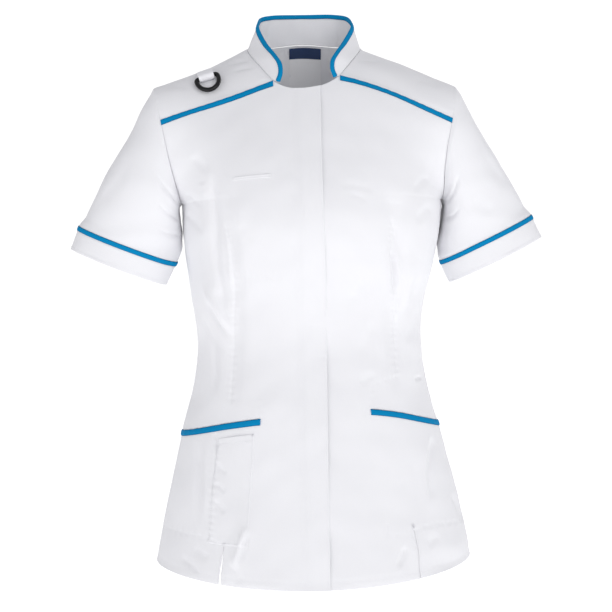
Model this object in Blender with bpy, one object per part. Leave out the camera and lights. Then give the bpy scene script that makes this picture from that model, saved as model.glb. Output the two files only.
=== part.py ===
"""A short-sleeved medical tunic with a stand collar, held in the round as it hangs on a wearer.

Blender 4.5, metres, +Z up. The front faces -Y and the wearer's left is +X. The origin lies
between the two points where the shoulder ridges meet the neck. Every panel is a cloth wall
between an outer grid of points and an inner one. Columns run across a panel, from its middle
line (0) to its side or armhole seam (1), and rows run up it, named by their height at the side.
"""

import math

import bmesh
import bpy
import numpy as np
from mathutils import Matrix

# Cloth, trim and the space that parts two pieces
CLOTH = 0.0012
TRIM = 0.0010
COLLAR_CLOTH = 0.0016
GAP = 0.0003

# Rows, by their height at the side seam
HEM = -0.707
UNDERARM = -0.212
YOKE_ROW = -0.062
PIPING_ROW = -0.0695
CHEST_TOP = -0.1850
CHEST_LOW = -0.1895
CHEST_FOOT = -0.320
CHEST_NEAR = 0.178
CHEST_FAR = 0.402
PEN_TOP = -0.542

# Front opening, as x on the wearer's side of the middle: the right front laps over the left
LAP_EDGE = 0.020
LAP_MIDDLE = 0.005
UNDERLAP_EDGE = -0.010
LAP_FOOT = -0.022
LAP_LIFT = 0.0019

# Armhole, as an upright ring
ARMHOLE_TOP = -0.053
ARMHOLE_FRONT = 0.062
ARMHOLE_BACK = 0.066
SHOULDER_X = 0.210
UNDERARM_X = 0.1785
FRONT_YOKE_ANGLE = math.radians(66.5)
BACK_YOKE_ANGLE = math.radians(48.7)

# Neck: the columns where the collar seam leaves the yoke, and how far the middle dips
FRONT_NECK = 0.16
BACK_NECK = 0.18
FRONT_NECK_DIP = 0.13
BACK_NECK_DIP = 0.051
ROW_BEND = 0.2

# Sleeve and its cuff
CUFF_HALF_DEPTH = 0.046
CUFF_BAND = 0.0345
PIPING = 0.007
SLEEVE_SWELL = 0.004
UNDERARM_PARTING = 0.0030

# The front of the neck sits higher on the wearer's left: a wave across, fading by height
SETTLE = 0.0045
SETTLE_WAVE = 0.34
SETTLE_Z = -0.07
SETTLE_REACH = 0.06

# The sides lean towards the wearer's left from LEAN_FROM outwards, and no further than the sleeves
LEAN_FROM = 0.10
LEAN_RISE = 0.06
LEAN_END = {-1: (0.172, 0.03), 1: (0.185, 0.05)}

# The left hip pocket's mouth drops towards the side seam
LEFT_MOUTH_ROW = -0.521
LEFT_MOUTH_REACH = 0.028

# Collar binding, neck label, loop tape and ring
BINDING = 0.0055
YOKE_SHARE_OF_COLLAR = 0.72
COLLAR_SPREAD = 0.07
YOKE_WIDTH = 0.1416
RING_COLUMN = 0.475
RING_SHARE = 0.245
TAPE_END = 0.40
RING_WIRE = 0.0062
RING_WIDTH = 0.0366
RING_HEIGHT = 0.0320
TAPE_WIDTH = 0.021
RING_PLAY = 0.0007


def table(columns, rows):
    """A table as one array for each named column."""
    return {name: np.array(values) for name, values in zip(columns.split(), zip(*rows))}


SIDE = table("row half_width", [
    (-0.707, 0.2200), (-0.665, 0.2115), (-0.617, 0.2010), (-0.567, 0.1880), (-0.517, 0.1770),
    (-0.467, 0.1645), (-0.405, 0.1563), (-0.350, 0.1615), (-0.307, 0.1715), (-0.260, 0.1780),
    (-0.212, 0.1785),
])

# far_gap and far_full place the arc's last control point: in from the side, and in depths
FRONT = table("row centre_z depth centre_full far_gap far_full", [
    (-0.707, -0.7275, 0.158, 0.60, 0.000, 0.60),
    (-0.665, -0.676, 0.151, 0.60, 0.000, 0.60),
    (-0.600, -0.591, 0.141, 0.60, 0.000, 0.60),
    (-0.529, -0.502, 0.130, 0.60, 0.000, 0.60),
    (-0.470, -0.452, 0.122, 0.60, 0.000, 0.60),
    (-0.405, -0.399, 0.117, 0.60, 0.000, 0.60),
    (-0.350, -0.347, 0.123, 0.61, 0.000, 0.60),
    (-0.300, -0.295, 0.135, 0.62, 0.000, 0.62),
    (-0.255, -0.248, 0.142, 0.62, 0.002, 0.66),
    (-0.212, -0.205, 0.137, 0.60, 0.009, 0.72),
    (-0.1745, -0.165, 0.124, 0.57, 0.024, 0.82),
    (-0.137, -0.122, 0.106, 0.55, 0.042, 0.93),
    (-0.0995, -0.081, 0.0865, 0.54, 0.056, 1.03),
    (-0.062, -0.038, 0.064, 0.53, 0.0625, 1.12),
])

BACK = table("row centre_z depth centre_full far_gap far_full", [
    (-0.707, -0.714, 0.150, 0.60, 0.000, 0.60),
    (-0.665, -0.670, 0.145, 0.60, 0.000, 0.60),
    (-0.600, -0.602, 0.136, 0.60, 0.000, 0.60),
    (-0.529, -0.529, 0.123, 0.60, 0.000, 0.60),
    (-0.470, -0.468, 0.107, 0.59, 0.000, 0.60),
    (-0.405, -0.404, 0.096, 0.58, 0.000, 0.60),
    (-0.350, -0.350, 0.098, 0.58, 0.000, 0.60),
    (-0.300, -0.300, 0.106, 0.60, 0.000, 0.62),
    (-0.255, -0.252, 0.113, 0.60, 0.002, 0.68),
    (-0.212, -0.201, 0.1175, 0.60, 0.009, 0.76),
    (-0.1745, -0.147, 0.1165, 0.57, 0.023, 0.86),
    (-0.137, -0.088, 0.106, 0.55, 0.040, 0.98),
    (-0.0995, -0.030, 0.087, 0.54, 0.053, 1.12),
    (-0.062, 0.0265, 0.0585, 0.53, 0.058, 1.32),
])

# Neck edge of the yoke between its two seams, on the wearer's left
NECK_SIDE = table("share x y z", [
    (0.25, 0.0665, -0.0360, -0.0195), (0.50, 0.0787, 0.0000, 0.0000),
    (0.75, 0.0700, 0.0290, 0.0085),
])

# Top edge of the collar, from its front end (0) to the middle of the back (1)
COLLAR_TOP = table("share x y z", [
    (0.00, 0.0375, -0.0690, -0.0485), (0.06, 0.0340, -0.0715, -0.0365),
    (0.12, 0.0350, -0.0670, -0.0235), (0.18, 0.0415, -0.0555, -0.0115),
    (0.26, 0.0535, -0.0320, 0.0065), (0.36, 0.0630, -0.0050, 0.0290),
    (0.48, 0.0630, 0.0200, 0.0425), (0.60, 0.0590, 0.0430, 0.0512),
    (0.75, 0.0430, 0.0600, 0.0564), (1.00, 0.0000, 0.0690, 0.0580),
])

# How far the cloth at the side and underarm moves towards the wearer's left, by height
LEAN_RIGHT = table("z shift", [
    (-0.705, 0.0000), (-0.685, 0.0018), (-0.664, 0.0024), (-0.640, 0.0006), (-0.580, 0.0000),
    (-0.420, 0.0000), (-0.360, -0.0008), (-0.345, -0.0008), (-0.328, 0.0015), (-0.309, 0.0046),
    (-0.290, 0.0058), (-0.270, 0.0060), (-0.249, 0.0052), (-0.210, 0.0045), (-0.180, 0.0020),
    (-0.150, 0.0000),
])
LEAN_LEFT = table("z shift", [
    (-0.705, 0.0007), (-0.685, 0.0038), (-0.664, 0.0026), (-0.640, 0.0008), (-0.580, 0.0005),
    (-0.538, 0.0000), (-0.517, -0.0012), (-0.480, -0.0006), (-0.430, 0.0000), (-0.330, 0.0000),
    (-0.310, 0.0004), (-0.290, 0.0022), (-0.270, 0.0036), (-0.235, 0.0074), (-0.2157, 0.0092),
    (-0.200, 0.0078), (-0.177, 0.0034), (-0.140, 0.0000),
])
LEFT_MOUTH = table("column shift", [
    (0.00, 0.0000), (0.13, 0.0010), (0.26, 0.0021), (0.60, -0.0002), (1.00, -0.0028),
])

# The largest folds: from and to as seen from the front or back, ridges up and troughs down
FOLDS = table("side back from_x from_z to_x to_z width rise", [
    (-1, 0, 0.1115, -0.236, 0.1015, -0.330, 0.011, -0.0050),
    (-1, 0, 0.1015, -0.330, 0.1070, -0.470, 0.011, -0.0045),
    (1, 0, 0.1118, -0.225, 0.1135, -0.330, 0.011, -0.0055),
    (1, 0, 0.1135, -0.330, 0.1108, -0.455, 0.011, -0.0040),
    (-1, 0, 0.1430, -0.318, 0.1080, -0.378, 0.011, 0.0060),
    (-1, 0, 0.1300, -0.205, 0.1270, -0.290, 0.015, -0.0060),
    (1, 0, 0.1390, -0.290, 0.1200, -0.365, 0.013, 0.0045),
    (-1, 0, 0.0920, -0.635, 0.1130, -0.700, 0.012, 0.0035),
    (1, 0, 0.1500, -0.440, 0.1400, -0.500, 0.016, -0.0030),
    (-1, 1, 0.0850, -0.260, 0.0780, -0.480, 0.012, -0.0050),
    (1, 1, 0.0850, -0.270, 0.0800, -0.470, 0.012, -0.0050),
    (-1, 1, 0.1350, -0.330, 0.0900, -0.390, 0.014, 0.0045),
    (1, 1, 0.1400, -0.345, 0.0950, -0.395, 0.014, 0.0040),
    (1, 1, 0.0450, -0.520, 0.0550, -0.690, 0.020, 0.0050),
    (-1, 1, 0.0600, -0.540, 0.0750, -0.690, 0.020, 0.0045),
])

# What differs between the wearer's right (-1) and left (1) front
FRONTS = table("side vent_top vent_column vent_open mouth_low mouth_top mouth_column", [
    (-1, -0.662, 0.385, 0.0035, -0.534, -0.5255, 0.243),
    (1, -0.650, 0.408, 0.0003, -0.5255, -0.517, 0.26),
])

# The sleeve's inner wall keeps off the body by its ease, and its outer line dips above the cuff
CUFFS = table("side x y z half_width slope tilt ease dip", [
    (-1, 0.2645, 0.004, -0.2970, 0.0712, 21.8, 4.2, 0.0000, 0.0044),
    (1, 0.2640, 0.004, -0.2963, 0.0726, 25.2, 1.5, 0.0026, 0.0046),
])

ROWS = np.array([
    HEM, -0.684, -0.662, -0.650, -0.625, -0.600, -0.578, -0.556, PEN_TOP, -0.534, -0.5255, -0.517,
    -0.490, -0.465, -0.435, -0.405, -0.378, -0.350, CHEST_FOOT, -0.300, -0.278, -0.255, -0.2335,
    UNDERARM, CHEST_LOW, CHEST_TOP, -0.168, -0.146, -0.124, -0.102, -0.086, PIPING_ROW, YOKE_ROW,
])

COLUMNS = {
    -1: np.array([0.115, FRONT_NECK, CHEST_NEAR, 0.243, 0.27, 0.32, 0.385, CHEST_FAR, 0.48, 0.55,
                  0.65, 0.75, 0.84, 0.92, 1.0]),
    1: np.array([0.115, FRONT_NECK, 0.21, 0.26, 0.33, 0.408, 0.46, 0.53, 0.60, 0.67, 0.74, 0.81,
                 0.88, 0.94, 1.0]),
}
BACK_MIDDLE = np.array([0.0, 0.075, 0.13])
BACK_COLUMNS = np.linspace(BACK_NECK, 1.0, 14)
YOKE_SHARES = np.linspace(0.0, 1.0, 9)
SLEEVE_SHARES = np.array([0.0, 0.04, 0.12, 0.23, 0.34, 0.45, 0.56, 0.67, 0.78, 0.87, 0.94, 1.0])


def through(rows, key, column, at):
    """A smooth curve through one column of a table: cubic pieces with slopes from the neighbours."""
    x, y = rows[key], rows[column]
    slope = np.gradient(y, x)
    at = np.clip(at, x[0], x[-1])
    i = np.clip(np.searchsorted(x, at) - 1, 0, len(x) - 2)
    span = x[i + 1] - x[i]
    t = (at - x[i]) / span
    rising = y[i] * (1 + 2 * t) * (1 - t) ** 2 + y[i + 1] * t * t * (3 - 2 * t)
    leaning = slope[i] * t * (1 - t) ** 2 + slope[i + 1] * t * t * (t - 1)
    return rising + leaning * span


def stack(x, y, z):
    """Three arrays of coordinates as one array of points."""
    return np.stack(np.broadcast_arrays(x, y, z), axis=-1)


def unit(vectors):
    """The vectors scaled to length one."""
    return vectors / np.maximum(np.linalg.norm(vectors, axis=-1, keepdims=True), 1e-12)


def smooth(share):
    """A soft step from 0 to 1."""
    share = np.clip(share, 0.0, 1.0)
    return share * share * (3 - 2 * share)


def armhole(angle, back):
    """Points of the armhole seam: angle 0 is the shoulder and pi the underarm, front or back."""
    middle, half = (ARMHOLE_TOP + UNDERARM) / 2, (ARMHOLE_TOP - UNDERARM) / 2
    z = middle + half * np.cos(angle)
    reach = np.where(back, ARMHOLE_BACK, -ARMHOLE_FRONT)
    y = reach * np.abs(np.sin(angle)) ** 0.8
    rise = np.clip((z - UNDERARM) / (2 * half), 0.0, 1.0)
    x = UNDERARM_X + (SHOULDER_X - UNDERARM_X) * rise ** 1.15
    return stack(x, y, z)


def row_angle(row, back):
    """The armhole angle where a row of the body ends."""
    upper = np.clip((row - UNDERARM) / (YOKE_ROW - UNDERARM), 0.0, 1.0)
    top = np.where(back, BACK_YOKE_ANGLE, FRONT_YOKE_ANGLE)
    return np.pi - upper * (np.pi - top)


def body(column, row, back):
    """Points of the left half of the body: each row is a cubic arc from the middle to the side."""
    rows = BACK if back else FRONT
    facing = 1.0 if back else -1.0
    column, row = np.broadcast_arrays(np.asarray(column, float), np.asarray(row, float))
    upper = np.clip((row - UNDERARM) / (YOKE_ROW - UNDERARM), 0.0, 1.0)
    seam = armhole(row_angle(row, back), back)
    below = row <= UNDERARM
    side_x = np.where(below, through(SIDE, "row", "half_width", row), seam[..., 0])
    side_y = np.where(below, 0.0, seam[..., 1])
    side_z = np.where(below, row, seam[..., 2])
    depth = through(rows, "row", "depth", row)
    middle_z = through(rows, "row", "centre_z", row)
    near_x = through(rows, "row", "centre_full", row) * side_x
    far_x = side_x - through(rows, "row", "far_gap", row)
    far_y = facing * through(rows, "row", "far_full", row) * depth
    top_z = armhole(np.array(BACK_YOKE_ANGLE if back else FRONT_YOKE_ANGLE), back)[2]
    plain_z = row + (top_z - YOKE_ROW) * upper ** 2
    a, b = (1 - column) ** 3, 3 * column * (1 - column) ** 2
    c, d = 3 * column ** 2 * (1 - column), column ** 3
    x = b * near_x + c * far_x + d * side_x
    soft = ROW_BEND
    drop = (np.sqrt((x / side_x) ** 2 + soft ** 2) - soft) / (math.sqrt(1 + soft ** 2) - soft)
    z = middle_z + (plain_z - middle_z) * ((1 - upper) * (c + d) + upper * drop)
    z = z + (side_z - plain_z) * d
    return stack(x, (a + b) * facing * depth + c * far_y + d * side_y, z)


def column_at(x, row, back):
    """The column where a row of the body passes x, found by halving."""
    low = np.full(np.broadcast(x, row).shape, -0.2)
    high = np.full(low.shape, 1.0)
    for _ in range(40):
        middle = (low + high) / 2
        short = body(middle, row, back)[..., 0] < x
        low = np.where(short, middle, low)
        high = np.where(short, high, middle)
    return (low + high) / 2


def cross_normals(surface, u, v, sign):
    """Unit normals of a surface function, from its slopes along u and v."""
    step = 1e-4
    along_u = surface(u + step, v) - surface(u - step, v)
    along_v = surface(u, v + step) - surface(u, v - step)
    return sign * unit(np.cross(along_u, along_v))


def fold_rise(points, side, back):
    """How far the folds lift the cloth at points given on the wearer's left half."""
    rise = np.zeros(points.shape[:-1])
    for k in range(len(FOLDS["side"])):
        if FOLDS["side"][k] != side or FOLDS["back"][k] != back:
            continue
        start = np.array([FOLDS["from_x"][k], FOLDS["from_z"][k]])
        way = np.array([FOLDS["to_x"][k], FOLDS["to_z"][k]]) - start
        place = np.stack([points[..., 0], points[..., 2]], axis=-1) - start
        along = place @ way / (way @ way)
        off = np.linalg.norm(place - np.clip(along, 0, 1)[..., None] * way, axis=-1)
        ends = 0.35 + 0.65 * np.sin(np.pi * np.clip(along, 0.0, 1.0))
        rise += FOLDS["rise"][k] * ends * np.exp(-(off / FOLDS["width"][k]) ** 2)
    return rise


def skin(column, row, side, back):
    """Outer points of the body with its folds, on the wearer's right (-1) or left (1)."""
    facing = 1.0 if back else -1.0
    plain = body(column, row, back)
    normals = cross_normals(lambda u, v: body(u, v, back), np.asarray(column), np.asarray(row), -facing)
    plain = plain + normals * fold_rise(plain, side, back)[..., None]
    return plain * np.array([side, 1.0, 1.0])


def skin_normals(column, row, side, back):
    """Outward unit normals of the folded body."""
    facing = 1.0 if back else -1.0
    row = np.minimum(row, YOKE_ROW - 2e-4)
    row = np.maximum(row, HEM + 2e-4)
    row = np.where(np.abs(row - UNDERARM) < 2e-4, UNDERARM - 2e-4, row)
    return cross_normals(lambda u, v: skin(u, v, side, back), column, row, -facing * side)


def neck_row(column, row, back):
    """A row bent down to the neckline near the middle, where the neck cuts into the upper rows."""
    reach, dip = (BACK_NECK, BACK_NECK_DIP) if back else (FRONT_NECK, FRONT_NECK_DIP)
    cut = dip * np.clip(1 - (column / reach) ** 2, 0.0, 1.0)
    upper = np.clip((row - UNDERARM) / (YOKE_ROW - UNDERARM), 0.0, 1.0)
    return row - upper * cut * (YOKE_ROW - UNDERARM)


def front_row(column, row, side):
    """A row of the front, bent to the neckline and, on the left, to the slant of the hip pocket."""
    if side > 0:
        near = np.exp(-((row - LEFT_MOUTH_ROW) / LEFT_MOUTH_REACH) ** 2)
        row = row + through(LEFT_MOUTH, "column", "shift", column) * near
    return neck_row(column, row, False)


def yoke(front_share, back_share, over):
    """Points of the left yoke: from the front seam (over 0) across the ridge (0.5) to the back (1)."""
    front = lambda share: body(FRONT_NECK + (1 - FRONT_NECK) * share, YOKE_ROW, False)
    rear = lambda share: body(BACK_NECK + (1 - BACK_NECK) * share, YOKE_ROW, True)
    share = (front_share + back_share) / 2
    neck_point = np.array([NECK_SIDE[c][1] for c in "xyz"])
    shoulder = armhole(np.array(0.0), False)
    ridge = neck_point + share[..., None] * (shoulder - neck_point)
    w0 = ((1 - over) * (1 - 2 * over))[..., None]
    w1 = (4 * over * (1 - over))[..., None]
    w2 = (over * (2 * over - 1))[..., None]
    middle = front(front_share) * w0 + ridge * w1 + rear(back_share) * w2
    zero, one = np.array(0.0), np.array(1.0)
    ends = {c: np.array([front(zero)["xyz".index(c)], *NECK_SIDE[c], rear(zero)["xyz".index(c)]])
            for c in "xyz"}
    ends["share"] = np.array([0.0, *NECK_SIDE["share"], 1.0])
    neck = stack(*(through(ends, "share", c, over) for c in "xyz"))
    angle = np.where(over < 0.5, FRONT_YOKE_ANGLE * (1 - 2 * over), BACK_YOKE_ANGLE * (2 * over - 1))
    arm = armhole(angle, over > 0.5)
    at_neck = front(zero) * w0 + neck_point * w1 + rear(zero) * w2
    at_arm = front(one) * w0 + shoulder * w1 + rear(one) * w2
    return middle + (neck - at_neck) * (1 - share[..., None]) + (arm - at_arm) * share[..., None]


def cuff_axes(side):
    """Half axes of one cuff ring, outward and forward, and the unit way out of the sleeve."""
    k = 0 if side < 0 else 1
    slope, tilt = math.radians(CUFFS["slope"][k]), math.radians(CUFFS["tilt"][k])
    outward = CUFFS["half_width"][k] * np.array([math.cos(slope), 0.0, math.sin(slope)])
    forward = CUFF_HALF_DEPTH * np.array([0.0, -math.cos(tilt), -math.sin(tilt)])
    return outward, forward, -unit(np.cross(forward, outward))


def cuff_ring(angle, back, back_off, side):
    """Points of one cuff ring as on the left, moved back up the sleeve by a distance."""
    k = 0 if side < 0 else 1
    outward, forward, way = cuff_axes(side)
    turned = np.where(back, -1.0, 1.0) * np.sin(angle)
    ring = np.cos(angle)[..., None] * outward + turned[..., None] * forward
    centre = np.array([CUFFS[c][k] for c in "xyz"])
    return centre + ring - np.asarray(back_off)[..., None] * way


def sleeve(angle, back, along, side):
    """Points of the left sleeve, from the armhole (along 0) to the seam of its cuff band (1)."""
    top = armhole(angle, back)
    foot = cuff_ring(angle, back, np.full(np.shape(angle), CUFF_BAND), side)
    under = (1 - np.cos(angle)) / 2
    leave = unit(stack(0.52 - 0.52 * under, 0.0 * under, -0.85 - 0.15 * under))
    length = np.linalg.norm(foot - top, axis=-1)[..., None]
    way = cuff_axes(side)[2]
    t = along[..., None]
    points = (
        (1 - t) ** 3 * top + 3 * t * (1 - t) ** 2 * (top + leave * length / 3)
        + 3 * t * t * (1 - t) * (foot - way * length / 3) + t ** 3 * foot
    )
    k = 0 if side < 0 else 1
    parting = UNDERARM_PARTING * (1 - np.exp(-along / 0.05)) * (1 - along)
    parting = (parting + CUFFS["ease"][k] * np.sin(np.pi * along)) * under ** 2
    dip = CUFFS["dip"][k] * smooth(along / 0.42) * smooth((1 - along) / 0.07) * (1 - under) ** 2
    swell = SLEEVE_SWELL * np.sin(np.pi * along) * np.sin(angle) * np.where(back, 1.0, -1.0)
    return points + stack(parting - dip, swell, 0.0)


def mitre(first, second, thickness):
    """The way in at a seam that leaves both walls their thickness, shortened where it is sharp."""
    both = first + second
    match = 1 + np.sum(first * second, axis=-1, keepdims=True)
    return -thickness * both / np.maximum(match, 0.3)


def set_back(points, inward, edge, inside, share=0.5):
    """Move the points of an edge away from their seam, along the panel, by a share of the gap."""
    away = unit(points[inside] - points[edge])
    lean = np.linalg.norm(np.cross(away, unit(inward[edge])), axis=-1, keepdims=True)
    points[edge] = points[edge] + away * np.minimum(GAP * share / np.maximum(lean, 1e-3), 0.001)


def grid_cells(rows, columns):
    """The corners of each cell of a grid, as rows of cells."""
    index = np.arange(rows * columns).reshape(rows, columns)
    return np.stack([index[:-1, :-1], index[:-1, 1:], index[1:, 1:], index[1:, :-1]], axis=-1)


def part_column(cells, points, inward, shape, column, top, opening):
    """Slit a panel along a column from its foot up to a row, widest at the foot."""
    grid = points[:shape[0] * shape[1]].reshape(*shape, 3)
    low = np.arange(top)
    across = unit(grid[low, column + 1] - grid[low, column - 1])
    wide = (GAP + (opening - GAP) * (1 - low / top))[:, None] / 2
    fresh = len(points) + low
    copy = grid[low, column] + across * wide
    grid[low, column] -= across * wide
    cells[low, column, 0] = fresh
    cells[low[:-1], column, 3] = fresh[1:]
    return np.vstack([points, copy]), np.vstack([inward, inward[low * shape[1] + column]])


def part_row(cells, points, inward, shape, row, first):
    """Slit a panel along a row from a column to its side edge."""
    grid = points[:shape[0] * shape[1]].reshape(*shape, 3)
    wide = np.arange(first + 1, shape[1])
    up = unit(grid[row + 1, wide] - grid[row - 1, wide])
    fresh = len(points) + np.arange(len(wide))
    copy = grid[row, wide] + up * GAP / 2
    grid[row, wide] -= up * GAP / 2
    cells[row, first:, 1] = fresh
    cells[row, first + 1:, 0] = fresh[:-1]
    return np.vstack([points, copy]), np.vstack([inward, inward[row * shape[1] + wide]])


def settle(points):
    """The front of the neck sits higher on the wearer's left, and both sides lean towards it."""
    x, y, z = points[..., 0], points[..., 1], points[..., 2]
    near = np.exp(-((z - SETTLE_Z) / SETTLE_REACH) ** 2) * smooth((0.02 - y) / 0.05)
    tilt = SETTLE * np.sin(2 * np.pi * x / SETTLE_WAVE) * near
    far, lean = np.abs(x), {}
    for side, leans in ((-1, LEAN_RIGHT), (1, LEAN_LEFT)):
        start, span = LEAN_END[side]
        lean[side] = through(leans, "z", "shift", z) * (1 - smooth((far - start) / span))
    shift = np.where(x < 0, lean[-1], lean[1]) * smooth((far - LEAN_FROM) / LEAN_RISE)
    return points + stack(shift, 0.0, tilt)


def wall(name, cells, outer, inner, material):
    """A closed wall between outer and inner points, with a rim along every open edge."""
    outer, inner = settle(outer), settle(inner)
    quads = cells.reshape(-1, 4)
    faces = np.vstack([quads[:, [0, 1, 2]], quads[:, [0, 2, 3]]])
    count = len(outer)
    edges = np.vstack([faces[:, [0, 1]], faces[:, [1, 2]], faces[:, [2, 0]]])
    seen = {(a, b) for a, b in edges.tolist()}
    rim = np.array([(a, b) for a, b in sorted(seen) if (b, a) not in seen])
    sides = np.vstack([
        np.stack([rim[:, 1], rim[:, 0], rim[:, 0] + count], axis=-1),
        np.stack([rim[:, 1], rim[:, 0] + count, rim[:, 1] + count], axis=-1),
    ])
    all_faces = np.vstack([faces, faces[:, ::-1] + count, sides])
    mesh = bpy.data.meshes.new(name)
    mesh.from_pydata(np.vstack([outer, inner]).tolist(), [], all_faces.tolist())
    return finish(name, mesh, material)


def finish(name, mesh, material):
    """Drop unused points, face the mesh outward, and link it as an object."""
    shape = bmesh.new()
    shape.from_mesh(mesh)
    loose = [v for v in shape.verts if not v.link_faces]
    bmesh.ops.delete(shape, geom=loose, context="VERTS")
    bmesh.ops.recalc_face_normals(shape, faces=shape.faces)
    shape.to_mesh(mesh)
    shape.free()
    mesh.shade_smooth()
    mesh.set_sharp_from_angle(angle=math.radians(50))
    mesh.materials.append(material)
    item = bpy.data.objects.new(name, mesh)
    bpy.data.collections["medical_tunic"].objects.link(item)
    return item


def strip(name, outer, inward, thickness, material, lift=GAP):
    """A flat piece on a panel, from a grid of the panel's points moved out along the way in."""
    out = -unit(inward)
    cells = grid_cells(*outer.shape[:2])
    base = (outer + out * lift).reshape(-1, 3)
    top = (outer + out * (lift + thickness)).reshape(-1, 3)
    return wall(name, cells, top, base, material)


def paint(name, colour, roughness):
    """A plain material."""
    material = bpy.data.materials.new(name)
    material.use_nodes = True
    shader = material.node_tree.nodes["Principled BSDF"]
    shader.inputs["Base Color"].default_value = (*colour, 1.0)
    shader.inputs["Roughness"].default_value = roughness
    return material


def grid_normals(points, closed):
    """Unit normals of a grid of points, whose rows may close on themselves, up to their sign."""
    along = np.gradient(points, axis=0)
    if closed:
        across = np.roll(points, -1, axis=1) - np.roll(points, 1, axis=1)
    else:
        across = np.gradient(points, axis=1)
    return unit(np.cross(along, across))


def facing(normals, points, centre):
    """The normals turned to point away from a centre."""
    away = np.sum(normals * (points - centre), axis=-1)
    return normals * (1.0 if np.median(away) > 0 else -1.0)


def yoke_normals(front_share, back_share, over):
    """Outward normals of the left yoke."""
    step = 1e-3
    over = np.clip(over, step, 1 - step)
    ahead = yoke(front_share + step, back_share + step, over)
    behind = yoke(front_share - step, back_share - step, over)
    rear = yoke(front_share, back_share, over + step)
    fore = yoke(front_share, back_share, over - step)
    return unit(np.cross(ahead - behind, rear - fore))


def over_angle(over):
    """The armhole angle along the yoke's end."""
    return np.where(over < 0.5, FRONT_YOKE_ANGLE * (1 - 2 * over), BACK_YOKE_ANGLE * (2 * over - 1))


def armhole_samples():
    """Angle and front or back of each sample round the armhole, from the underarm up the front."""
    upper = ROWS[ROWS >= UNDERARM]
    inner = YOKE_SHARES[1:-1]
    angle = np.concatenate([
        row_angle(upper, False), over_angle(inner), row_angle(upper, True)[::-1][:-1],
    ])
    back = np.concatenate([
        np.zeros(len(upper), bool), inner > 0.5, np.ones(len(upper) - 1, bool),
    ])
    return angle, back


def sleeve_grid(side):
    """Points and outward normals of one sleeve as on the left, a row for each share of its length."""
    angle, back = armhole_samples()
    along, angle = np.meshgrid(SLEEVE_SHARES, angle, indexing="ij")
    points = sleeve(angle, np.broadcast_to(back, angle.shape), along, side)
    normals = grid_normals(points, True)
    return points, facing(normals, points, points.mean(axis=1, keepdims=True))


def armhole_seam(side):
    """The way in that the body's and the sleeve's walls share, at each armhole sample."""
    upper = ROWS[ROWS >= UNDERARM]
    mirror = np.array([side, 1.0, 1.0])
    ends = np.ones(len(upper))
    front = skin_normals(ends, upper, side, False)
    rear = skin_normals(ends, upper, side, True)
    over = yoke_normals(np.ones(9), np.ones(9), YOKE_SHARES) * mirror
    front[-1] = unit(front[-1] + over[0])
    rear[-1] = unit(rear[-1] + over[-1])
    front[0] = unit(front[0] + rear[0])
    panel = np.vstack([front, over[1:-1], rear[::-1][:-1]])
    points, normals = sleeve_grid(side)
    tube = normals[1] * mirror
    ring = mitre(panel, tube, CLOTH)
    count = len(upper)
    return {
        "ring": ring,
        "front": ring[:count],
        "over": ring[count - 1:count + len(YOKE_SHARES) - 1],
        "back": np.vstack([ring[count + len(YOKE_SHARES) - 2:], ring[:1]])[::-1],
    }


def collar_share(side_columns):
    """Shares along the collar's top edge for its seam points, from front end to front end."""
    over = YOKE_SHARE_OF_COLLAR * YOKE_SHARES
    return np.concatenate([over, back_collar_share(side_columns), over[::-1]])


def back_collar_share(columns):
    """Shares along the collar's top edge for columns of the back's neck."""
    return YOKE_SHARE_OF_COLLAR + (1 - YOKE_SHARE_OF_COLLAR) * (1 - np.abs(columns) / BACK_NECK)


def collar_top(share, side):
    """Points of the collar's top edge, a little wider towards the top on the wearer's left."""
    x, y, z = (through(COLLAR_TOP, "share", c, share) for c in "xyz")
    spread = COLLAR_SPREAD * smooth(z / 0.04) * (np.asarray(side) > 0)
    return stack(side * x * (1 + spread), y, z)


def make_yoke(side, seam, material):
    """One yoke, with the ways in at its front, back and neck seams."""
    mirror = np.array([side, 1.0, 1.0])
    lines = COLUMNS[side][1:]
    front_share, over = np.meshgrid((lines - FRONT_NECK) / (1 - FRONT_NECK), YOKE_SHARES)
    back_share = np.meshgrid((BACK_COLUMNS - BACK_NECK) / (1 - BACK_NECK), YOKE_SHARES)[0]
    points = yoke(front_share, back_share, over) * mirror
    normals = yoke_normals(front_share, back_share, over) * mirror
    inward = -CLOTH * normals
    front_top = skin_normals(lines, np.full(len(lines), YOKE_ROW), side, False)
    back_top = skin_normals(BACK_COLUMNS, np.full(len(BACK_COLUMNS), YOKE_ROW), side, True)
    inward[0] = mitre(normals[0], front_top, CLOTH)
    inward[-1] = mitre(normals[-1], back_top, CLOTH)
    inward[:, -1] = seam["over"]
    share = YOKE_SHARE_OF_COLLAR * YOKE_SHARES
    rise = collar_top(share, side) - points[:, 0]
    collar = facing(unit(np.cross(np.gradient(points[:, 0], axis=0), rise)), points[:, 0],
                    np.array([0.0, 0.0, 0.03]))
    inward[:, 0] = mitre(normals[:, 0], collar, CLOTH)
    neck = points[:, 0].copy()
    shared = {"front": inward[0].copy(), "back": inward[-1].copy(), "neck": neck,
              "neck_in": inward[:, 0].copy()}
    set_back(points, inward, (0, slice(None)), (1, slice(None)))
    set_back(points, inward, (-1, slice(None)), (-2, slice(None)))
    set_back(points, inward, (slice(None), 0), (slice(None), 1))
    set_back(points, inward, (slice(None), -1), (slice(None), -2))
    name = "yoke_left" if side > 0 else "yoke_right"
    cells = grid_cells(*points.shape[:2])
    wall(name, cells, points.reshape(-1, 3), (points + inward).reshape(-1, 3), material)
    return shared


def side_seam(side):
    """The way in that front and back share down the side seam."""
    low = ROWS[ROWS <= UNDERARM]
    ends = np.ones(len(low))
    return mitre(skin_normals(ends, low, side, False), skin_normals(ends, low, side, True), CLOTH)


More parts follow.
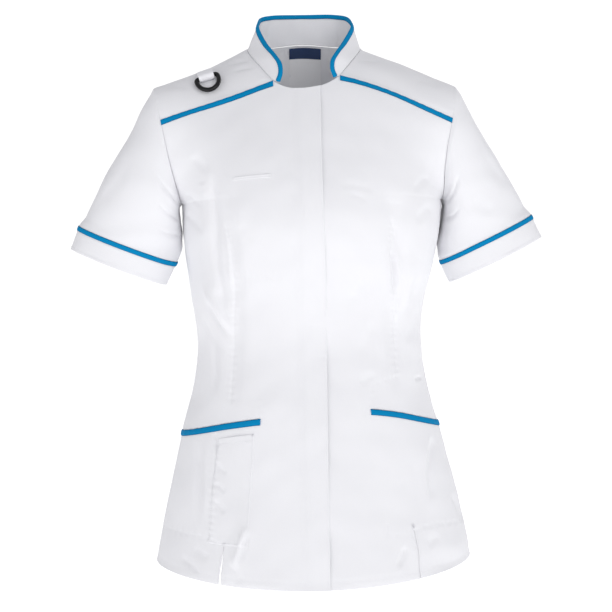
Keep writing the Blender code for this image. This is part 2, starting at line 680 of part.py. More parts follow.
def front_grid(side):
    """Columns, rows, points and ways in of one front, before its seams are set back."""
    laps = [-LAP_EDGE, -LAP_MIDDLE, -UNDERLAP_EDGE, -LAP_FOOT]
    if side > 0:
        laps = [UNDERLAP_EDGE, LAP_MIDDLE, -LAP_FOOT]
    lap_columns = []
    for x in laps:
        column = column_at(x, ROWS, False)
        for _ in range(3):
            column = column_at(x, front_row(column, ROWS, side), False)
        lap_columns.append(column)
    wide = np.broadcast_to(COLUMNS[side], (len(ROWS), len(COLUMNS[side])))
    column = np.hstack([np.stack(lap_columns, axis=-1), wide])
    row = front_row(column, ROWS[:, None], side)
    points = skin(column, row, side, False)
    normals = skin_normals(column, row, side, False)
    if side < 0:
        over = 1 - smooth((-points[..., 0] + UNDERLAP_EDGE) / (UNDERLAP_EDGE - LAP_FOOT))
        points = points + normals * (LAP_LIFT * over)[..., None]
    return len(laps), points, -CLOTH * normals


def make_front(side, seam, shared, paints):
    """One front panel with its vent and pocket mouth, and what lies on it and behind it."""
    word = "left" if side > 0 else "right"
    k = 0 if side < 0 else 1
    laps, points, inward = front_grid(side)
    low = int(np.sum(ROWS <= UNDERARM))
    inward[:low, -1] = side_seam(side)
    inward[low - 1:, -1] = seam["front"]
    corner = laps + 1
    inward[-1, corner:] = shared["front"]
    inward[-1, -1] = seam["front"][-1]
    set_back(points, inward, (-1, slice(corner, None)), (-2, slice(corner, None)))
    set_back(points, inward, (slice(None), -1), (slice(None), -2))
    shape = points.shape[:2]
    cells = grid_cells(*shape)
    lines = COLUMNS[side]
    vent = laps + int(np.argmin(np.abs(lines - FRONTS["vent_column"][k])))
    vent_top = int(np.argmin(np.abs(ROWS - FRONTS["vent_top"][k])))
    mouth = int(np.argmin(np.abs(ROWS - FRONTS["mouth_top"][k])))
    mouth_low = int(np.argmin(np.abs(ROWS - FRONTS["mouth_low"][k])))
    mouth_from = laps + int(np.argmin(np.abs(lines - FRONTS["mouth_column"][k])))
    flat, ways = points.reshape(-1, 3).copy(), inward.reshape(-1, 3).copy()
    flat, ways = part_column(cells, flat, ways, shape, vent, vent_top, FRONTS["vent_open"][k])
    flat, ways = part_row(cells, flat, ways, shape, mouth, mouth_from)
    wall("front_" + word, cells, flat, flat + ways, paints["cloth"])
    points = flat[:shape[0] * shape[1]].reshape(*shape, 3)

    trim = slice(int(np.argmin(np.abs(ROWS - PIPING_ROW))), None), slice(corner, None)
    strip("yoke_piping_" + word, points[trim], inward[trim], TRIM, paints["trim"])
    lip = slice(mouth_low, mouth + 1), slice(mouth_from, None)
    strip("hip_piping_" + word, points[lip], inward[lip], TRIM, paints["trim"])
    bag = slice(vent_top, mouth + 3), slice(mouth_from, -1)
    lining(f"hip_pocket_{word}", points[bag], inward[bag], paints["cloth"])
    if side > 0:
        return
    chest = [laps + int(np.argmin(np.abs(lines - c))) for c in (CHEST_NEAR, CHEST_FAR)]
    rows = [int(np.argmin(np.abs(ROWS - r))) for r in (CHEST_FOOT, CHEST_LOW, CHEST_TOP)]
    across = slice(chest[0], chest[1] + 1)
    welt = slice(rows[1], rows[2] + 1), across
    strip("chest_welt", points[welt], inward[welt], TRIM, paints["cloth"])
    bag = slice(rows[0], rows[2] + 1), across
    lining("chest_pocket", points[bag], inward[bag], paints["cloth"])
    pen_from, pen_to = (laps + int(np.argmin(np.abs(lines - c))) for c in (0.27, 0.48))
    pen_top = int(np.argmin(np.abs(ROWS - PEN_TOP)))
    patch = slice(vent_top, pen_top + 1), slice(pen_from, pen_to + 1)
    strip("pen_pocket", points[patch], inward[patch], TRIM, paints["cloth"])


def lining(name, points, inward, material):
    """A flat bag behind a panel, from its points moved in past the wall."""
    way = unit(inward)
    near = points + inward + way * GAP
    cells = grid_cells(*points.shape[:2])
    wall(name, cells, near.reshape(-1, 3), (near + way * TRIM).reshape(-1, 3), material)


def make_back(seams, shared, paints):
    """The back panel in one piece, and the label inside its neck."""
    half = np.concatenate([BACK_MIDDLE, BACK_COLUMNS])
    parts = []
    for side in (-1, 1):
        column = np.broadcast_to(half, (len(ROWS), len(half)))
        row = neck_row(column, ROWS[:, None], True)
        points = skin(column, row, side, True)
        normals = skin_normals(column, row, side, True)
        inward = -CLOTH * normals
        low = int(np.sum(ROWS <= UNDERARM))
        inward[:low, -1] = side_seam(side)
        inward[low - 1:, -1] = seams[side]["back"]
        inward[-1, len(BACK_MIDDLE):] = shared[side]["back"]
        inward[-1, -1] = seams[side]["back"][-1]
        rise = collar_top(back_collar_share(half[:4]), side) - points[-1, :4]
        collar = unit(np.cross(np.gradient(points[-1, :4], axis=0), rise))
        collar = facing(collar, points[-1, :4], np.array([0.0, 0.0, 0.03]))
        inward[-1, :4] = mitre(normals[-1, :4], collar, CLOTH)
        inward[-1, 3] = shared[side]["neck_in"][-1]
        parts.append((points, inward))
    middle = 0.5 * (parts[0][1][:, :1] * np.array([-1, 1, 1]) + parts[1][1][:, :1])
    middle[..., 0] = 0.0
    points = np.hstack([parts[0][0][:, :0:-1], parts[1][0]])
    inward = np.hstack([parts[0][1][:, :0:-1], middle, parts[1][1][:, 1:]])
    centre = len(half) - 1
    neck = slice(centre - 3, centre + 4)
    seam = {"neck": points[-1, neck].copy(), "neck_in": inward[-1, neck].copy()}
    set_back(points, inward, (-1, slice(None)), (-2, slice(None)), 0.8)
    set_back(points, inward, (slice(None), -1), (slice(None), -2))
    set_back(points, inward, (slice(None), 0), (slice(None), 1))
    cells = grid_cells(*points.shape[:2])
    wall("back", cells, points.reshape(-1, 3), (points + inward).reshape(-1, 3), paints["cloth"])
    tag = slice(len(ROWS) - 4, len(ROWS)), slice(centre - 1, centre + 2)
    label, way = points[tag].copy(), inward[tag].copy()
    label[-1] = 0.8 * label[-1] + 0.2 * label[-2]
    way[-1] = 0.8 * way[-1] + 0.2 * way[-2]
    lining("neck_label", label, way, paints["label"])
    return seam


def make_collar(shared, back_seam, paints):
    """The stand collar in one piece and the binding over its top edge."""
    right, left = shared[-1], shared[1]
    seam = np.vstack([right["neck"], back_seam["neck"][1:-1], left["neck"][::-1]])
    seam_in = np.vstack([right["neck_in"], back_seam["neck_in"][1:-1], left["neck_in"][::-1]])
    middle = np.array([-0.13, -0.075, 0.0, 0.075, 0.13])
    share = collar_share(middle)
    top = collar_top(share, np.where(np.abs(seam[:, 0]) < 1e-4, 0.0, np.sign(seam[:, 0])))
    for ends in (seam, seam_in, top):
        ends[0] = 0.9 * ends[0] + 0.1 * ends[1]
        ends[-1] = 0.9 * ends[-1] + 0.1 * ends[-2]
    height = np.linalg.norm(top - seam, axis=-1)
    bound = 1 - np.minimum(BINDING, 0.45 * height) / height
    levels = np.stack([0 * bound, bound / 2, bound, np.ones(len(bound))])
    points = seam + levels[..., None] * (top - seam)
    normals = grid_normals(points, False)
    normals = facing(normals, points, np.array([0.0, 0.0, 0.0]))
    inward = -COLLAR_CLOTH * normals
    inward[0] = seam_in
    set_back(points, inward, (0, slice(None)), (1, slice(None)), 1.0)
    cells = grid_cells(*points.shape[:2])
    wall("collar", cells, points.reshape(-1, 3), (points + inward).reshape(-1, 3), paints["cloth"])
    low, high = points[2], points[3]
    rise = unit(high - low)
    out_low, out_high = normals[2], normals[3]
    wraps = []
    for g in (GAP, GAP + TRIM):
        wraps.append(np.stack([
            low + out_low * g,
            high + out_high * g + rise * 0.2 * g,
            high - out_high * 0.25 * COLLAR_CLOTH + rise * g,
            high - out_high * 0.75 * COLLAR_CLOTH + rise * g,
            high - out_high * (COLLAR_CLOTH + g) + rise * 0.2 * g,
            low - out_low * (COLLAR_CLOTH + g),
        ]))
    cells = grid_cells(*wraps[0].shape[:2])
    cells[-1] = np.roll(cells[-1], 1, axis=-1)
    wall("collar_binding", cells, wraps[1].reshape(-1, 3), wraps[0].reshape(-1, 3), paints["trim"])


def tube_wall(name, outer, inward, material):
    """A closed wall round a tube, from rings of points."""
    rows, count = outer.shape[:2]
    index = np.arange(rows * count).reshape(rows, count)
    following = np.roll(index, -1, axis=1)
    cells = np.stack([index[:-1], following[:-1], following[1:], index[1:]], axis=-1)
    return wall(name, cells, outer.reshape(-1, 3), (outer + inward).reshape(-1, 3), material)


def make_sleeve(side, seam, paints):
    """One sleeve, its cuff band and the piping between them."""
    word = "left" if side > 0 else "right"
    mirror = np.array([side, 1.0, 1.0])
    points, normals = sleeve_grid(side)
    points, normals = points * mirror, normals * mirror
    angle, back = armhole_samples()
    off = np.array([CUFF_BAND, CUFF_BAND - PIPING, 0.0])[:, None] + 0 * angle
    band = cuff_ring(np.broadcast_to(angle, off.shape), np.broadcast_to(back, off.shape), off, side)
    band_normals = grid_normals(band, True)
    band_normals = facing(band_normals, band, band.mean(axis=1, keepdims=True)) * mirror
    band = band * mirror
    inward = -CLOTH * normals
    inward[0] = seam["ring"]
    joint = mitre(normals[-1], band_normals[0], CLOTH)
    inward[-1] = joint
    set_back(points, inward, (0, slice(None)), (1, slice(None)))
    set_back(points, inward, (-1, slice(None)), (-2, slice(None)))
    tube_wall("sleeve_" + word, points, inward, paints["cloth"])
    inward = -CLOTH * band_normals
    inward[0] = joint
    set_back(band, inward, (0, slice(None)), (1, slice(None)))
    tube_wall("cuff_band_" + word, band, inward, paints["cloth"])
    out = -unit(inward[:2])
    tube_wall("cuff_piping_" + word, band[:2] + out * (GAP + TRIM), -out * TRIM, paints["trim"])


def ring_frame():
    """Centre of the ring's bar, the ways along it and down the ring, the yoke's speed, the loop."""
    here, step = np.array(RING_COLUMN), 1e-3
    over = np.array(RING_SHARE)
    mirror = np.array([-1.0, 1.0, 1.0])
    place = lambda w, s: yoke(w, w, s) * mirror
    normal = yoke_normals(here, here, over) * mirror
    along = unit(place(here + step, over) - place(here - step, over))
    down = place(here, over - step) - place(here, over + step)
    speed = np.linalg.norm(down) / (2 * step)
    loop = RING_WIRE / 2 + RING_PLAY
    centre = settle(place(here, over) + normal * (2 * GAP + TRIM + loop))
    reach = RING_HEIGHT - RING_WIRE
    foot_over = over - 0.9 * reach / speed
    rest = yoke_normals(here, here, foot_over) * mirror * (RING_WIRE / 2 + 0.0022)
    foot = settle(place(here, foot_over) + rest)
    way = foot - centre
    way = unit(way - along * (way @ along))
    return centre, along, way, speed, loop


def make_ring(paints):
    """The D-ring, with its origin in the middle of its bar, and the tape folded round the bar."""
    centre, along, way, speed, loop = ring_frame()
    half = (RING_WIDTH - RING_WIRE) / 2
    reach = RING_HEIGHT - RING_WIRE
    corner = 0.004
    turn = np.linspace(0, np.pi, 17)
    right = [(half - corner, 0.0), (half - 0.3 * corner, 0.3 * corner), (half, corner)]
    bow = [(half * math.cos(a), 0.006 + (reach - 0.006) * math.sin(a)) for a in turn]
    outline = right + bow + [(-x, y) for x, y in right[::-1]]
    curve = bpy.data.curves.new("d_ring", "CURVE")
    curve.dimensions = "3D"
    curve.bevel_depth = RING_WIRE / 2
    curve.bevel_resolution = 2
    spline = curve.splines.new("POLY")
    spline.points.add(len(outline) - 1)
    for point, (x, y) in zip(spline.points, outline):
        point.co = (x, y, 0.0, 1.0)
    spline.use_cyclic_u = True
    curve.materials.append(paints["ring"])
    ring = bpy.data.objects.new("d_ring", curve)
    third = np.cross(along, way)
    frame = np.stack([along, way, third], axis=-1)
    ring.matrix_world = Matrix.Translation(centre) @ Matrix(frame.tolist()).to_4x4()
    bpy.data.collections["medical_tunic"].objects.link(ring)

    middle = loop + TRIM / 2
    low = 2 * GAP + TRIM / 2
    rise = low + middle
    length = (TAPE_END - RING_SHARE) * speed
    turns = np.radians(np.linspace(-90, 112, 11))
    path = [(-length, low), (-0.6 * length, low), (-0.3 * length, low)]
    path += [(middle * math.cos(a), rise + middle * math.sin(a)) for a in turns]
    top = path[-1]
    end = (-length, low + TRIM + GAP)
    path += [(top[0] + (end[0] - top[0]) * t, top[1] + (end[1] - top[1]) * t) for t in (0.5, 1.0)]
    path = np.array(path)
    way_on = unit(np.gradient(path, axis=0))
    out = np.stack([way_on[:, 1], -way_on[:, 0]], axis=-1)
    faces = []
    across = np.array([-0.5, 0.0, 0.5]) * TAPE_WIDTH / YOKE_WIDTH + RING_COLUMN
    for shift in (TRIM / 2, -TRIM / 2):
        flat = path + out * shift
        share, over = np.meshgrid(across, RING_SHARE - flat[:, 0] / speed)
        height = np.broadcast_to(flat[:, 1:2], share.shape)[..., None]
        mirror = np.array([-1.0, 1.0, 1.0])
        faces.append((yoke(share, share, over) + yoke_normals(share, share, over) * height) * mirror)
    cells = grid_cells(*faces[0].shape[:2])
    wall("ring_tape", cells, faces[0].reshape(-1, 3), faces[1].reshape(-1, 3), paints["cloth"])


def main():
    """Build the tunic."""
    for item in list(bpy.data.objects):
        bpy.data.objects.remove(item, do_unlink=True)
    collection = bpy.data.collections.new("medical_tunic")
    bpy.context.scene.collection.children.link(collection)
    paints = {
        "cloth": paint("white_cloth", (0.86, 0.86, 0.89), 0.75),
        "trim": paint("blue_trim", (0.004, 0.22, 0.45), 0.6),
        "label": paint("label_tape", (0.80, 0.80, 0.84), 0.6),
        "ring": paint("black_plastic", (0.01, 0.01, 0.012), 0.35),
    }
    seams = {side: armhole_seam(side) for side in (-1, 1)}
    shared = {side: make_yoke(side, seams[side], paints["cloth"]) for side in (-1, 1)}
    for side in (-1, 1):
        make_front(side, seams[side], shared[side], paints)
        make_sleeve(side, seams[side], paints)
    back_seam = make_back(seams, shared, paints)
    make_collar(shared, back_seam, paints)
    make_ring(paints)


main()
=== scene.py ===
"""Looks of a short-sleeved medical tunic, filled out as worn with no wearer.

Every cloth piece is a thin shell on the form of its solid, with its creases, seams and stitches.
Metres, +Z up. The front faces -Y, and the wearer's left is +X.
"""

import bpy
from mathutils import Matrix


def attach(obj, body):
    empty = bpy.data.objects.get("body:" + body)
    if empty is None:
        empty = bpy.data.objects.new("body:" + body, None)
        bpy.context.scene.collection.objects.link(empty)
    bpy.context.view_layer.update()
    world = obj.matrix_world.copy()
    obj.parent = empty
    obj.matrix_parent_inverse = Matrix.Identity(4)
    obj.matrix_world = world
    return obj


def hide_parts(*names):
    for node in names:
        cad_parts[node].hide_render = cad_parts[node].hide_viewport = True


bl_info = {
    "name": "Medical tunic",
    "version": (1, 0, 0),
    "blender": (4, 5, 0),
    "location": "View3D > Sidebar > Tunic",
    "description": "Dresses a medical tunic with cloth, piping, stitches and a ring",
    "category": "Add Mesh",
}

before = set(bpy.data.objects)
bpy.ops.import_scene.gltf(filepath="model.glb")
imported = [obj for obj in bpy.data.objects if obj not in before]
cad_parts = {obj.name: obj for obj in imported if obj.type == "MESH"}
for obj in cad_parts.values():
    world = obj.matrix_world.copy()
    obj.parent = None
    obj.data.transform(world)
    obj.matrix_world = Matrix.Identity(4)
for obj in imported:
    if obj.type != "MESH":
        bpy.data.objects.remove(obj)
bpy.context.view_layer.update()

import math

import bpy
import numpy as np
from mathutils import Matrix, Vector

WORDS = {-1: "right", 1: "left"}

# Cloth, trim and the space between pieces
CLOTH = 0.0012
TRIM = 0.0010
COLLAR_CLOTH = 0.0016
GAP = 0.0003

# Rows, by their height at the side seam
HEM = -0.707
UNDERARM = -0.212
YOKE_ROW = -0.062
PIPING_ROW = -0.0695

# Front opening, as x on the wearer's side of the middle
UNDERLAP_EDGE = -0.010
LAP_FOOT = -0.022
LAP_LIFT = 0.0019

# Armhole, as an upright ring
ARMHOLE_TOP = -0.053
ARMHOLE_FRONT = 0.062
ARMHOLE_BACK = 0.066
SHOULDER_X = 0.210
UNDERARM_X = 0.1785
FRONT_YOKE_ANGLE = math.radians(66.5)
BACK_YOKE_ANGLE = math.radians(48.7)

# Neck
FRONT_NECK = 0.16
BACK_NECK = 0.18
FRONT_NECK_DIP = 0.13
BACK_NECK_DIP = 0.051
ROW_BEND = 0.2

# Sleeve and cuff
CUFF_HALF_DEPTH = 0.046
CUFF_BAND = 0.0345
PIPING = 0.007
SLEEVE_SWELL = 0.004
UNDERARM_PARTING = 0.0030

# The front of the neck sits higher on the wearer's left, and the sides lean that way
SETTLE = 0.0045
SETTLE_WAVE = 0.34
SETTLE_Z = -0.07
SETTLE_REACH = 0.06
LEAN_FROM = 0.10
LEAN_RISE = 0.06
LEAN_END = {-1: (0.172, 0.03), 1: (0.185, 0.05)}
LEFT_MOUTH_ROW = -0.521
LEFT_MOUTH_REACH = 0.028

# Collar, tape and ring
BINDING = 0.0055
BINDING_CLOTH = 0.0006
COLLAR_SPREAD = 0.07
YOKE_SHARE_OF_COLLAR = 0.72
RING_COLUMN = 0.475
RING_SHARE = 0.245
TAPE_END = 0.40
RING_WIRE = 0.0062
RING_WIDTH = 0.0366
RING_HEIGHT = 0.0320
TAPE_WIDTH = 0.021
TAPE_LOOP = RING_WIRE / 2 + 0.0007
RING_CORNER = 0.004
BOW_START = 0.006
RING_REST = 0.0022
YOKE_WIDTH = 0.1416

# Neck label, as x of its middle and half its width
LABEL_X = 0.004
LABEL_HALF = 0.023
LABEL_CLOTH = 0.0005

# Pockets
CHEST_NEAR = 0.178
CHEST_FAR = 0.402
CHEST_TOP = -0.1850
CHEST_LOW = -0.1895
CHEST_FOOT = -0.320
PEN_TOP = -0.542
PEN_FOOT = -0.662
PEN_NEAR = 0.27
PEN_FAR = 0.48
BAG_DEPTH = CLOTH + 2 * GAP
HEM_TURN = 0.0085

# About how far panels reach, to count creases and puckers in metres along them
BODY_RUN = 0.27
ARMHOLE_RUN = 0.18
YOKE_DEPTH = 0.15
SLEEVE_GIRTH = 0.42
SLEEVE_LENGTH = 0.20
SLEEVE_RADIUS = 0.067
CUFF_GIRTH = 0.38

# Steps of the grids, and their numbers of lines across and along
ROW_STEP = 0.0024
COLUMN_STEP = 0.0075
BACK_ROW_STEP = 0.0030
BACK_COLUMN_STEP = 0.0100
LAP_LINES = 11
YOKE_LINES = (86, 84)
SLEEVE_LINES = (200, 92)
CUFF_LINES = (150, 16)
COLLAR_LINES = 26
EDGE_LINES = 2

# Strips narrower than this are trims, for which the sheet measures stop early
SMALLEST_SHEET = 0.01

# How round a sewn edge is beside a free one, how deep sewn seams dip, and how far a slit stands open
SEWN = 0.3
SEWN_DIP = 0.0003
HEM_DIP = 0.0004
MOUTH_OPEN = 0.0005

# Stitches: places along one, its thickness and rise there, and where rows lie beside an edge
STITCH_AT = np.array([0.0, 0.18, 0.5, 0.82, 1.0])
STITCH_SIZE = np.array([0.35, 0.95, 1.0, 0.95, 0.35])
STITCH_RISE = np.array([-0.7, 0.25, 0.55, 0.25, -0.7])
STITCH_SIDES = 5
STITCH_RADIUS = 0.00026
STITCH_LENGTH = 0.78
BESIDE_SEAM = 0.0075
BESIDE_VENT = 0.009
PEN_INSET = 0.007

# Camera and stage
CAMERA_EYE = (-0.004, 0.0, -0.295)
CAMERA_AIM = (-0.004, 0.0, -0.357)
CAMERA_AWAY = 2.3
CAMERA_YAW = math.radians(2.2)
CAMERA_ROLL = math.radians(-1.08)
CAMERA_LENS = 96.6
FLOOR_Z = -1.15
FLOOR_HALF = 12.0
LIGHT_AIM = (0.0, 0.0, -0.35)

# Each light's name, place, width and watts
LIGHTS = (
    ("key", (1.5, -2.4, 0.9), 1.6, 20.0),
    ("fill", (-2.2, -1.8, 0.2), 2.0, 7.0),
    ("front", (0.55, -3.0, 0.35), 1.2, 2.0),
    ("rim", (0.6, 2.4, 1.2), 1.6, 16.0),
)


def table(columns, rows):
    """A table as one array for each named column."""
    return {name: np.array(values) for name, values in zip(columns.split(), zip(*rows))}


SIDE = table("row half_width", [
    (-0.707, 0.2200), (-0.665, 0.2115), (-0.617, 0.2010), (-0.567, 0.1880), (-0.517, 0.1770),
    (-0.467, 0.1645), (-0.405, 0.1563), (-0.350, 0.1615), (-0.307, 0.1715), (-0.260, 0.1780),
    (-0.212, 0.1785),
])

FRONT = table("row centre_z depth centre_full far_gap far_full", [
    (-0.707, -0.7275, 0.158, 0.60, 0.000, 0.60),
    (-0.665, -0.676, 0.151, 0.60, 0.000, 0.60),
    (-0.600, -0.591, 0.141, 0.60, 0.000, 0.60),
    (-0.529, -0.502, 0.130, 0.60, 0.000, 0.60),
    (-0.470, -0.452, 0.122, 0.60, 0.000, 0.60),
    (-0.405, -0.399, 0.117, 0.60, 0.000, 0.60),
    (-0.350, -0.347, 0.123, 0.61, 0.000, 0.60),
    (-0.300, -0.295, 0.135, 0.62, 0.000, 0.62),
    (-0.255, -0.248, 0.142, 0.62, 0.002, 0.66),
    (-0.212, -0.205, 0.137, 0.60, 0.009, 0.72),
    (-0.1745, -0.165, 0.124, 0.57, 0.024, 0.82),
    (-0.137, -0.122, 0.106, 0.55, 0.042, 0.93),
    (-0.0995, -0.081, 0.0865, 0.54, 0.056, 1.03),
    (-0.062, -0.038, 0.064, 0.53, 0.0625, 1.12),
])

BACK = table("row centre_z depth centre_full far_gap far_full", [
    (-0.707, -0.714, 0.150, 0.60, 0.000, 0.60),
    (-0.665, -0.670, 0.145, 0.60, 0.000, 0.60),
    (-0.600, -0.602, 0.136, 0.60, 0.000, 0.60),
    (-0.529, -0.529, 0.123, 0.60, 0.000, 0.60),
    (-0.470, -0.468, 0.107, 0.59, 0.000, 0.60),
    (-0.405, -0.404, 0.096, 0.58, 0.000, 0.60),
    (-0.350, -0.350, 0.098, 0.58, 0.000, 0.60),
    (-0.300, -0.300, 0.106, 0.60, 0.000, 0.62),
    (-0.255, -0.252, 0.113, 0.60, 0.002, 0.68),
    (-0.212, -0.201, 0.1175, 0.60, 0.009, 0.76),
    (-0.1745, -0.147, 0.1165, 0.57, 0.023, 0.86),
    (-0.137, -0.088, 0.106, 0.55, 0.040, 0.98),
    (-0.0995, -0.030, 0.087, 0.54, 0.053, 1.12),
    (-0.062, 0.0265, 0.0585, 0.53, 0.058, 1.32),
])

NECK_SIDE = table("share x y z", [
    (0.25, 0.0665, -0.0360, -0.0195), (0.50, 0.0787, 0.0000, 0.0000),
    (0.75, 0.0700, 0.0290, 0.0085),
])

COLLAR_TOP = table("share x y z", [
    (0.00, 0.0375, -0.0690, -0.0485), (0.06, 0.0340, -0.0715, -0.0365),
    (0.12, 0.0350, -0.0670, -0.0235), (0.18, 0.0415, -0.0555, -0.0115),
    (0.26, 0.0535, -0.0320, 0.0065), (0.36, 0.0630, -0.0050, 0.0290),
    (0.48, 0.0630, 0.0200, 0.0425), (0.60, 0.0590, 0.0430, 0.0512),
    (0.75, 0.0430, 0.0600, 0.0564), (1.00, 0.0000, 0.0690, 0.0580),
])

LEAN_RIGHT = table("z shift", [
    (-0.705, 0.0000), (-0.685, 0.0018), (-0.664, 0.0024), (-0.640, 0.0006), (-0.580, 0.0000),
    (-0.420, 0.0000), (-0.360, -0.0008), (-0.345, -0.0008), (-0.328, 0.0015), (-0.309, 0.0046),
    (-0.290, 0.0058), (-0.270, 0.0060), (-0.249, 0.0052), (-0.210, 0.0045), (-0.180, 0.0020),
    (-0.150, 0.0000),
])
LEAN_LEFT = table("z shift", [
    (-0.705, 0.0007), (-0.685, 0.0038), (-0.664, 0.0026), (-0.640, 0.0008), (-0.580, 0.0005),
    (-0.538, 0.0000), (-0.517, -0.0012), (-0.480, -0.0006), (-0.430, 0.0000), (-0.330, 0.0000),
    (-0.310, 0.0004), (-0.290, 0.0022), (-0.270, 0.0036), (-0.235, 0.0074), (-0.2157, 0.0092),
    (-0.200, 0.0078), (-0.177, 0.0034), (-0.140, 0.0000),
])
LEFT_MOUTH = table("column shift", [
    (0.00, 0.0000), (0.13, 0.0010), (0.26, 0.0021), (0.60, -0.0002), (1.00, -0.0028),
])

# The lap's free edge, as x down the front
LAP_LINE = table("row x", [
    (-0.707, 0.0152), (-0.600, 0.0162), (-0.480, 0.0174), (-0.360, 0.0188), (-0.250, 0.0166),
    (-0.150, 0.0162), (-0.062, 0.0182),
])

CUFFS = table("side x y z half_width slope tilt ease dip", [
    (-1, 0.2645, 0.004, -0.2970, 0.0712, 21.8, 4.2, 0.0000, 0.0044),
    (1, 0.2640, 0.004, -0.2963, 0.0726, 25.2, 1.5, 0.0026, 0.0046),
])

# The solids' folds: from and to as seen from the front or back, ridges up and troughs down
FOLDS = table("side back from_x from_z to_x to_z width rise", [
    (-1, 0, 0.1115, -0.236, 0.1015, -0.330, 0.011, -0.0050),
    (-1, 0, 0.1015, -0.330, 0.1070, -0.470, 0.011, -0.0045),
    (1, 0, 0.1118, -0.225, 0.1135, -0.330, 0.011, -0.0055),
    (1, 0, 0.1135, -0.330, 0.1108, -0.455, 0.011, -0.0040),
    (-1, 0, 0.1430, -0.318, 0.1080, -0.378, 0.011, 0.0060),
    (-1, 0, 0.1300, -0.205, 0.1270, -0.290, 0.015, -0.0060),
    (1, 0, 0.1390, -0.290, 0.1200, -0.365, 0.013, 0.0045),
    (-1, 0, 0.0920, -0.635, 0.1130, -0.700, 0.012, 0.0035),
    (1, 0, 0.1500, -0.440, 0.1400, -0.500, 0.016, -0.0030),
    (-1, 1, 0.0850, -0.260, 0.0780, -0.480, 0.012, -0.0050),
    (1, 1, 0.0850, -0.270, 0.0800, -0.470, 0.012, -0.0050),
    (-1, 1, 0.1350, -0.330, 0.0900, -0.390, 0.014, 0.0045),
    (1, 1, 0.1400, -0.345, 0.0950, -0.395, 0.014, 0.0040),
    (1, 1, 0.0450, -0.520, 0.0550, -0.690, 0.020, 0.0050),
    (-1, 1, 0.0600, -0.540, 0.0750, -0.690, 0.020, 0.0045),
])

